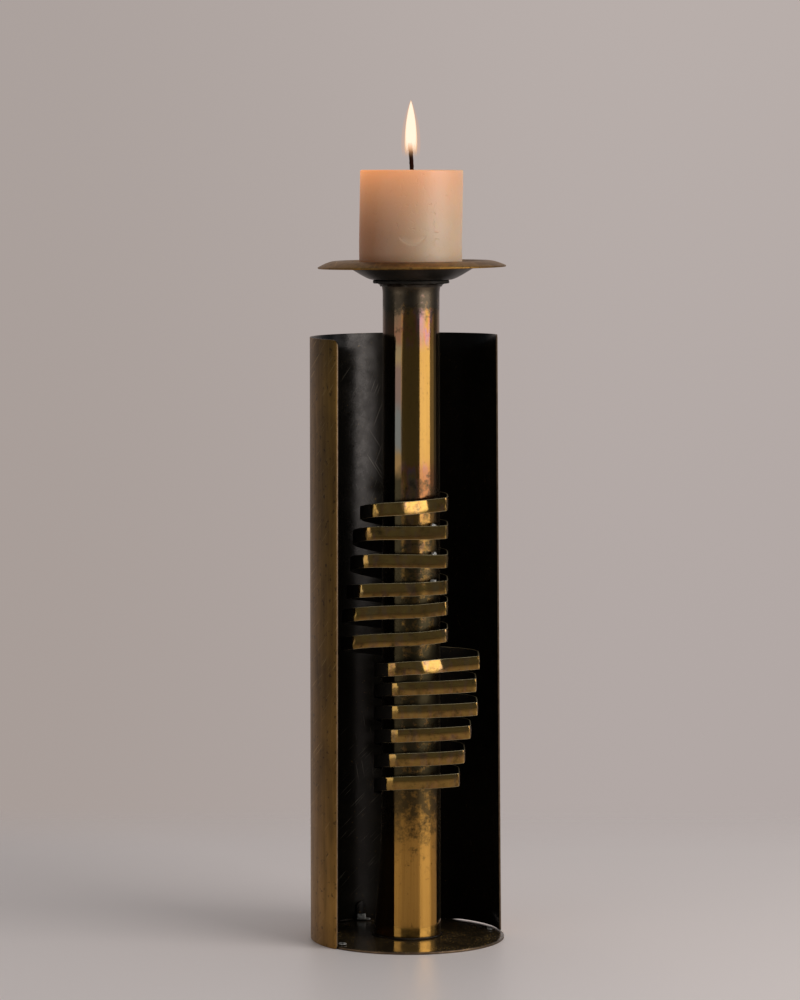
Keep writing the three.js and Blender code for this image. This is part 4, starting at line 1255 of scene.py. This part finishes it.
def candle_wax(name):
    """Paraffin wax with a peach dye: satin and a little translucent, so that the flame lights its top
    from inside. Painted glow adds to that: the colour turns orange near the top, and a faint emission is
    strongest near the top and at the left, where the side is also painted darker. Small dents and specks
    mark its side."""
    material, tree, output = new_material(name)
    place = add_node(tree, "ShaderNodeTexCoord").outputs["Object"]
    axes = add_node(tree, "ShaderNodeSeparateXYZ", {"Vector": place})
    height = axes.outputs["Z"]
    specks = add_node(tree, "ShaderNodeTexNoise", {"Vector": place, "Scale": 1 / (1.1 * MM), "Detail": 3})
    clouds = add_node(tree, "ShaderNodeTexNoise", {"Vector": place, "Scale": 1 / (16 * MM), "Detail": 3})
    # Painted glow: the colour turns orange towards the top, for the flame's light in the wax
    top_glow_share = add_node(tree, "ShaderNodeMapRange", {
        "Value": height, "From Min": (candle_top - 34) * MM, "From Max": (candle_top - 2) * MM,
    }, interpolation_type="SMOOTHSTEP")
    beige = add_node(tree, "ShaderNodeMix", {
        "Factor": clouds.outputs["Fac"], "A": linear("b89c80"), "B": linear("c4a98c"),
    }, data_type="RGBA")
    # Painted shade and painted glow: the colour is darker and more orange towards the left
    toward_right = add_node(tree, "ShaderNodeMapRange", {
        "Value": axes.outputs["X"], "From Min": -CANDLE_RADIUS * MM, "From Max": 8 * MM,
    })
    left_shaded = add_node(tree, "ShaderNodeMix", {
        "Factor": toward_right.outputs["Result"], "A": linear("a8724e"), "B": beige.outputs["Result"],
    }, data_type="RGBA")
    glow_and_shade_colour = add_node(tree, "ShaderNodeMix", {
        "Factor": top_glow_share.outputs["Result"], "A": left_shaded.outputs["Result"], "B": linear("cfa07e"),
    }, data_type="RGBA")
    dark_specks = add_node(tree, "ShaderNodeMapRange", {
        "Value": specks.outputs["Fac"], "From Min": 0.7, "From Max": 0.8, "To Max": 0.25,
    })
    colour = add_node(tree, "ShaderNodeMix", {
        "Factor": dark_specks.outputs["Result"], "A": glow_and_shade_colour.outputs["Result"], "B": linear("8a6048"),
    }, data_type="RGBA")
    # Painted glow, as a faint emission, for the flame's light inside the wax: less with each millimetre down,
    # and more at the left
    depth = add_node(tree, "ShaderNodeMapRange", {
        "Value": height, "From Min": (candle_top - GLOW_REACH) * MM, "From Max": candle_top * MM,
        "To Min": -1.0, "To Max": 0.0,
    }, clamp=False)
    fade = add_node(tree, "ShaderNodeMath", {0: depth.outputs["Result"]}, operation="EXPONENT")
    sideways = add_node(tree, "ShaderNodeMapRange", {
        "Value": axes.outputs["X"], "From Min": -CANDLE_RADIUS * MM, "From Max": CANDLE_RADIUS * MM,
        "To Min": 0.64, "To Max": 0.06,
    })
    near = add_node(tree, "ShaderNodeMath", {
        0: fade.outputs["Value"], 1: sideways.outputs["Result"],
    }, operation="MULTIPLY")
    glow = add_node(tree, "ShaderNodeMath", {0: near.outputs["Value"], 1: 0.02}, operation="ADD")
    # Small pits and scuffs from handling, and one crescent where a lid or a thumbnail pressed the front
    scuffs = add_node(tree, "ShaderNodeTexNoise", {
        "Vector": place, "Scale": 1 / (2.6 * MM), "Detail": 4, "Distortion": 1.2,
    })
    pits = add_node(tree, "ShaderNodeMapRange", {
        "Value": scuffs.outputs["Fac"], "From Min": 0.62, "From Max": 0.68, "To Min": 0.6, "To Max": 0.0,
    })
    shift = add_node(tree, "ShaderNodeVectorMath", {
        0: place, 1: (DENT_PLACE[0] * MM, 0, DENT_PLACE[1] * MM),
    }, operation="SUBTRACT")
    flat = add_node(tree, "ShaderNodeVectorMath", {
        0: shift.outputs["Vector"], 1: (1, 0, 1),
    }, operation="MULTIPLY")
    away = add_node(tree, "ShaderNodeVectorMath", {0: flat.outputs["Vector"]}, operation="LENGTH")
    pressed = add_node(tree, "ShaderNodeMapRange", {
        "Value": away.outputs["Value"], "From Min": (DENT_RADIUS - 4) * MM, "From Max": DENT_RADIUS * MM,
    })
    sunk = add_node(tree, "ShaderNodeMapRange", {
        "Value": away.outputs["Value"], "From Min": DENT_RADIUS * MM, "From Max": (DENT_RADIUS + 0.8) * MM,
        "To Min": 1.0, "To Max": 0.0,
    })
    below = add_node(tree, "ShaderNodeMapRange", {
        "Value": height, "From Min": DENT_TOP * MM, "From Max": (DENT_TOP - 2) * MM,
    })
    in_front = add_node(tree, "ShaderNodeMath", {0: axes.outputs["Y"], 1: 0.0}, operation="LESS_THAN")
    dent = pressed.outputs["Result"]
    for factor in (sunk.outputs["Result"], below.outputs["Result"], in_front.outputs["Value"]):
        dent = add_node(tree, "ShaderNodeMath", {0: dent, 1: factor}, operation="MULTIPLY").outputs["Value"]
    creased = add_node(tree, "ShaderNodeMath", {0: dent, 1: 0.22}, operation="MULTIPLY")
    colour = add_node(tree, "ShaderNodeMix", {
        "Factor": creased.outputs["Value"], "A": colour.outputs["Result"], "B": linear("e2cbb2"),
    }, data_type="RGBA")
    surface = add_node(tree, "ShaderNodeMath", {0: pits.outputs["Result"], 1: dent}, operation="SUBTRACT")
    pitted = add_node(tree, "ShaderNodeBump", {
        "Height": surface.outputs["Value"], "Strength": 0.6, "Distance": 0.35 * MM,
    })
    relief = add_node(tree, "ShaderNodeBump", {
        "Height": specks.outputs["Fac"], "Strength": 0.3, "Distance": 0.2 * MM,
        "Normal": pitted.outputs["Normal"],
    })
    shader = add_node(tree, "ShaderNodeBsdfPrincipled", {
        "Base Color": colour.outputs["Result"],
        "Roughness": 0.42,
        "IOR": 1.44,
        "Subsurface Weight": 0.6,
        "Subsurface Radius": (1.0, 0.4, 0.2),
        "Subsurface Scale": 6 * MM,
        "Emission Color": linear("ff9a4c"),
        "Emission Strength": glow.outputs["Value"],
        "Normal": relief.outputs["Normal"],
    })
    tree.links.new(shader.outputs["BSDF"], output.inputs["Surface"])
    return material


pool_floor = candle_top - POOL_DEPTH
side_foot = candle_foot + CANDLE_CHAMFER
side_height = candle_top - CANDLE_ROUND - candle_foot - CANDLE_CHAMFER
rim = (CANDLE_RADIUS - CANDLE_ROUND, candle_top)
pool_edge = (POOL_RADIUS - 1, candle_top - 0.7)
wick_hole = WICK_RADIUS + 0.3
candle_rings = [
    (SPIKE_HOLE_RADIUS, candle_foot), (CANDLE_RADIUS - CANDLE_CHAMFER, candle_foot),
    (CANDLE_RADIUS, side_foot),
]
candle_rings += [(CANDLE_RADIUS, side_foot + side_height * i / 10) for i in range(1, 11)]
candle_rings += curve_points([
    (CANDLE_RADIUS, candle_top - CANDLE_ROUND), (CANDLE_RADIUS, candle_top), rim,
], 6)
candle_rings += curve_points([rim, (POOL_RADIUS + 1, candle_top), pool_edge], 4)
candle_rings += curve_points([pool_edge, (POOL_RADIUS - 4, pool_floor), (6, pool_floor)], 6)
candle_rings += [(2.5, pool_floor + 0.1), (wick_hole, pool_floor + 0.2), (wick_hole, pool_floor - 7.2)]
candle = turned("pillar_candle", candle_rings, STEM_AXIS, sides=128)
# The hollow that the pricket fits
bpy.ops.object.mode_set(mode="EDIT")
bpy.ops.mesh.select_all(action="DESELECT")
bpy.ops.object.mode_set(mode="OBJECT")
for face in candle.data.polygons:
    face.select = len(face.vertices) > 4 and face.center.z < (candle_foot + 1) * MM
bpy.ops.object.mode_set(mode="EDIT")
bpy.ops.mesh.select_mode(type="FACE")
spike_depth = (pricket_high.z + 0.3 - candle_foot) * MM
bpy.ops.mesh.extrude_region_move(TRANSFORM_OT_translate={"value": (0, 0, spike_depth)})
hollow_top = (STEM_AXIS * MM, 0, candle_foot * MM + spike_depth)
bpy.ops.transform.resize(value=(0.3, 0.3, 1), center_override=hollow_top)
bpy.ops.mesh.select_mode(type="VERT")
bpy.ops.mesh.select_all(action="SELECT")
bpy.ops.mesh.normals_make_consistent(inside=False)
bpy.ops.object.mode_set(mode="OBJECT")
for vertex in candle.data.vertices:
    share = (vertex.co.z / MM - candle_foot) / (candle_top - candle_foot)
    vertex.co.x += (CANDLE_SHIFT + CANDLE_LEAN * share) * max(0, min(1, 4 * share)) * MM
smooth(candle, 40)
candle.data.materials.append(candle_wax("peach pillar wax"))
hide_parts("candle")
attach(candle, "candle")

# Wick
# Braided cotton, charred black where it stands out of the wax, bent a little to the left. Its tip glows.

wick_low, wick_high = (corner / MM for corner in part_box("wick"))


def charred_cotton(name):
    """Burnt cotton braid: soft black, with an ember glow where the flame reaches it."""
    material, tree, output = new_material(name)
    place = add_node(tree, "ShaderNodeTexCoord").outputs["Object"]
    height = add_node(tree, "ShaderNodeSeparateXYZ", {"Vector": place}).outputs["Z"]
    braid = add_node(tree, "ShaderNodeTexNoise", {"Vector": place, "Scale": 1 / (0.6 * MM), "Detail": 3})
    colour = add_node(tree, "ShaderNodeMix", {
        "Factor": braid.outputs["Fac"], "A": linear("0c0604"), "B": linear("34190f"),
    }, data_type="RGBA")
    ember = add_node(tree, "ShaderNodeMapRange", {
        "Value": height, "From Min": (wick_high.z - 5) * MM, "From Max": (wick_high.z - 1) * MM,
        "To Max": 0.9,
    }, interpolation_type="SMOOTHSTEP")
    relief = add_node(tree, "ShaderNodeBump", {
        "Height": braid.outputs["Fac"], "Strength": 0.8, "Distance": 0.3 * MM,
    })
    shader = add_node(tree, "ShaderNodeBsdfPrincipled", {
        "Base Color": colour.outputs["Result"],
        "Roughness": 0.95,
        "Specular IOR Level": 0.1,
        "Emission Color": linear("d2691e"),
        "Emission Strength": ember.outputs["Result"],
        "Normal": relief.outputs["Normal"],
    })
    tree.links.new(shader.outputs["BSDF"], output.inputs["Surface"])
    return material


wick_line = []
for i in range(25):
    share = i / 24
    bent = max(0, (share - 0.4) / 0.6)
    wick_line.append(Vector((
        STEM_AXIS + CANDLE_SHIFT + CANDLE_LEAN - 0.9 * bent**1.6, 0.12 * math.sin(9 * share),
        wick_low.z + (wick_high.z - wick_low.z) * share,
    )) * MM)
wick = poly_curve("candle_wick", wick_line)
wick.data.bevel_depth = WICK_RADIUS * MM
wick.data.bevel_resolution = 5
wick.data.use_fill_caps = True
work_on(wick)
bpy.ops.object.convert(target="MESH")
wick = bpy.context.object
roughen(wick, 0.25 * MM, 0.7 * MM)
smooth(wick, 60)
wick.data.materials.append(charred_cotton("charred cotton braid"))
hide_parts("wick")
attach(wick, "candle")

# Flame
# A steady candle flame: a white core inside thinner yellow and orange skins. It is drawn only, with no
# solid, and its tip stays inside the room that the model allows.

FLAME_TIP = 410.0
FLAME_X = STEM_AXIS + CANDLE_SHIFT + CANDLE_LEAN - 0.4
# Name, half width, foot, tip, where it is full, colour, strength and how much it covers
FLAME_SKINS = [
    ("flame_core", 2.35, 387.4, FLAME_TIP - 0.9, 391.2, "fffdf6", 1.6, 1.0),
    ("flame_body", 2.75, 384.6, FLAME_TIP - 0.4, 389.4, "fff2de", 1.25, 0.7),
    ("flame_skin", 3.1, 382.2, FLAME_TIP - 0.1, 387.6, "ffca94", 1.05, 0.36),
    ("flame_halo", 4.6, 381.6, FLAME_TIP, 387.0, "f6b48c", 0.9, 0.12),
]
# The flame is widest at this share of its height, and a little narrower at its open foot
FLAME_BELLY = 0.26
FLAME_FOOT_WAIST = 0.15


def flame_gas(name, foot, full, colour, strength, cover):
    """Burning wax vapour: it gives light, hides part of what is behind it and fades out at its foot."""
    material, tree, output = new_material(name)
    place = add_node(tree, "ShaderNodeTexCoord").outputs["Object"]
    thick = add_node(tree, "ShaderNodeMapRange", {
        "Value": add_node(tree, "ShaderNodeSeparateXYZ", {"Vector": place}).outputs["Z"],
        "From Min": foot * MM, "From Max": full * MM, "To Max": cover,
    }, interpolation_type="SMOOTHSTEP")
    light = add_node(tree, "ShaderNodeEmission", {"Color": linear(colour), "Strength": strength})
    clear = add_node(tree, "ShaderNodeBsdfTransparent")
    shader = add_node(tree, "ShaderNodeMixShader", {
        "Fac": thick.outputs["Result"], 1: clear.outputs["BSDF"], 2: light.outputs["Emission"],
    })
    tree.links.new(shader.outputs["Shader"], output.inputs["Surface"])
    return material


for name, half_width, foot, tip, full, colour, strength, cover in FLAME_SKINS:
    rings = []
    for i in range(29):
        share = i / 28
        if share < FLAME_BELLY:
            swell = 1 - FLAME_FOOT_WAIST * (1 - share / FLAME_BELLY) ** 2
        else:
            swell = math.sin(math.pi / 2 * (1 - share) / (1 - FLAME_BELLY)) ** 0.8
        rings.append((max(0.03, half_width * swell), foot + (tip - foot) * share))
    skin = turned(name, rings, FLAME_X, sides=48)
    smooth(skin, 80)
    skin.data.materials.append(flame_gas(name.replace("_", " "), foot, full, colour, strength, cover))
    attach(skin, "candle")

# Camera
# A long lens almost two metres in front of the holder, a little above its pan and tilted down.

CAMERA_PLACE = (-4.19 * MM, -1.95, 0.3705)
CAMERA_PITCH = 4.54
CAMERA_LENS = 144.3

camera_data = bpy.data.cameras.new("camera")
camera_data.lens = CAMERA_LENS
camera_data.sensor_width = 36
camera_data.clip_end = 20
camera = bpy.data.objects.new("camera", camera_data)
camera.location = CAMERA_PLACE
camera.rotation_euler = (math.radians(90 - CAMERA_PITCH), 0, 0)
bpy.context.collection.objects.link(camera)
bpy.context.scene.camera = camera

# Floor and light
# A pale satin table that fades out round the holder, a pale wall behind it and a dim room in front. A
# large soft box stands at the right front, and weaker ones at the left front, low at the left, at the
# right and overhead.

FLOOR_HALF = 1.2
FLOOR_FRONT = (-1.0, -1.15)
FLOOR_BACK = (0.24, 0.44)
FLOOR_SIDE = (0.9, 1.15)
FLOOR_LIT = (-1.0, -0.5)
WALL_BEHIND = (0.5, 0.8)
WALL_RISE = (-0.14, 0.1)
WALL_ACROSS = (-0.11, 0.07)

bpy.ops.object.select_all(action="DESELECT")
bpy.ops.mesh.primitive_grid_add(x_subdivisions=8, y_subdivisions=8, size=2 * FLOOR_HALF)
floor = bpy.context.object
floor.name = "table_top"
floor_material, tree, output = new_material("pale satin table")
place = add_node(tree, "ShaderNodeTexCoord").outputs["Object"]
axes = add_node(tree, "ShaderNodeSeparateXYZ", {"Vector": place})
side = add_node(tree, "ShaderNodeMath", {0: axes.outputs["X"]}, operation="ABSOLUTE")
fades = []
for value, (start, end) in [
    (axes.outputs["Y"], FLOOR_FRONT), (axes.outputs["Y"], FLOOR_BACK), (side.outputs["Value"], FLOOR_SIDE),
]:
    fades.append(add_node(tree, "ShaderNodeMapRange", {
        "Value": value, "From Min": start, "From Max": end,
    }, interpolation_type="SMOOTHSTEP").outputs["Result"])
gone = add_node(tree, "ShaderNodeMath", {0: fades[0], 1: fades[1]}, operation="MAXIMUM")
gone = add_node(tree, "ShaderNodeMath", {0: gone.outputs["Value"], 1: fades[2]}, operation="MAXIMUM")
# The light on the table falls off towards the dim room in front, which the brass mirrors
lit = add_node(tree, "ShaderNodeMapRange", {
    "Value": axes.outputs["Y"], "From Min": FLOOR_LIT[0], "From Max": FLOOR_LIT[1], "To Min": 0.12,
}, interpolation_type="SMOOTHSTEP")
seen = add_node(tree, "ShaderNodeLightPath").outputs["Is Camera Ray"]
shown = add_node(tree, "ShaderNodeMath", {0: lit.outputs["Result"], 1: seen}, operation="MAXIMUM")
table_colour = add_node(tree, "ShaderNodeMix", {
    "Factor": shown.outputs["Value"], "A": linear("1c1a18"), "B": linear("ecdfd9"),
}, data_type="RGBA")
table = add_node(tree, "ShaderNodeBsdfPrincipled", {
    "Base Color": table_colour.outputs["Result"], "Roughness": 0.42,
})
clear = add_node(tree, "ShaderNodeBsdfTransparent")
mixed = add_node(tree, "ShaderNodeMixShader", {
    "Fac": gone.outputs["Value"], 1: table.outputs["BSDF"], 2: clear.outputs["BSDF"],
})
tree.links.new(mixed.outputs["Shader"], output.inputs["Surface"])
floor.data.materials.append(floor_material)
floor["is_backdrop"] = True

world = bpy.data.worlds.new("room")
world.use_nodes = True
tree = world.node_tree
tree.nodes.clear()
output = add_node(tree, "ShaderNodeOutputWorld")
direction = add_node(tree, "ShaderNodeTexCoord").outputs["Generated"]
axes = add_node(tree, "ShaderNodeSeparateXYZ", {"Vector": direction})
behind = add_node(tree, "ShaderNodeMapRange", {
    "Value": axes.outputs["Y"], "From Min": WALL_BEHIND[0], "From Max": WALL_BEHIND[1],
}, interpolation_type="SMOOTHSTEP")
seen = add_node(tree, "ShaderNodeLightPath").outputs["Is Camera Ray"]
pale = add_node(tree, "ShaderNodeMath", {0: behind.outputs["Result"], 1: seen}, operation="MAXIMUM")
rise = add_node(tree, "ShaderNodeMapRange", {
    "Value": axes.outputs["Z"], "From Min": WALL_RISE[0], "From Max": WALL_RISE[1],
}, interpolation_type="SMOOTHSTEP")
across = add_node(tree, "ShaderNodeMapRange", {
    "Value": axes.outputs["X"], "From Min": WALL_ACROSS[0], "From Max": WALL_ACROSS[1],
}, interpolation_type="SMOOTHSTEP")
low_wall = add_node(tree, "ShaderNodeMix", {
    "Factor": across.outputs["Result"], "A": linear("a89d98"), "B": linear("b2a8a5"),
}, data_type="RGBA")
high_wall = add_node(tree, "ShaderNodeMix", {
    "Factor": across.outputs["Result"], "A": linear("aca29e"), "B": linear("b9afab"),
}, data_type="RGBA")
wall = add_node(tree, "ShaderNodeMix", {
    "Factor": rise.outputs["Result"], "A": low_wall.outputs["Result"], "B": high_wall.outputs["Result"],
}, data_type="RGBA")
room = add_node(tree, "ShaderNodeMix", {
    "Factor": pale.outputs["Value"], "A": linear("6e757b"), "B": wall.outputs["Result"],
}, data_type="RGBA")
background = add_node(tree, "ShaderNodeBackground", {"Color": room.outputs["Result"], "Strength": 1.0})
tree.links.new(background.outputs["Background"], output.inputs["Surface"])
bpy.context.scene.world = world

# Name, turn from the front towards the right, distance, middle height, width, height and radiance
SOFT_BOXES = [
    ("key_box", 58, 1.2, 0.52, 1.02, 0.92, 4.3),
    ("left_box", -52.5, 1.2, 0.18, 1.0, 0.34, 1.65),
    ("low_left_box", -25, 1.2, 0.05, 0.2, 0.08, 1.6),
    ("right_box", 93, 1.2, 0.46, 0.42, 0.88, 0.5),
]
for name, turn, distance, height, width, tall, radiance in SOFT_BOXES:
    lamp = bpy.data.lights.new(name, "AREA")
    lamp.shape = "RECTANGLE"
    lamp.size = width
    lamp.size_y = tall
    lamp.energy = radiance * math.pi * width * tall
    lamp_object = bpy.data.objects.new(name, lamp)
    angle = math.radians(turn)
    lamp_object.location = (distance * math.sin(angle), -distance * math.cos(angle), height)
    level = Vector((0, 0, height)) - lamp_object.location
    lamp_object.rotation_euler = level.to_track_quat("-Z", "Y").to_euler()
    bpy.context.collection.objects.link(lamp_object)

OVERHEAD_SIZE = 1.4
OVERHEAD_RADIANCE = 1.1
OVERHEAD_PLACE = (0.3, 0.1, 1.9)
overhead = bpy.data.lights.new("overhead_box", "AREA")
overhead.shape = "SQUARE"
overhead.size = OVERHEAD_SIZE
overhead.energy = OVERHEAD_RADIANCE * math.pi * overhead.size**2
overhead_object = bpy.data.objects.new("overhead_box", overhead)
overhead_object.location = OVERHEAD_PLACE
bpy.context.collection.objects.link(overhead_object)

bpy.context.scene.view_settings.view_transform = "Standard"

low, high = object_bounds()
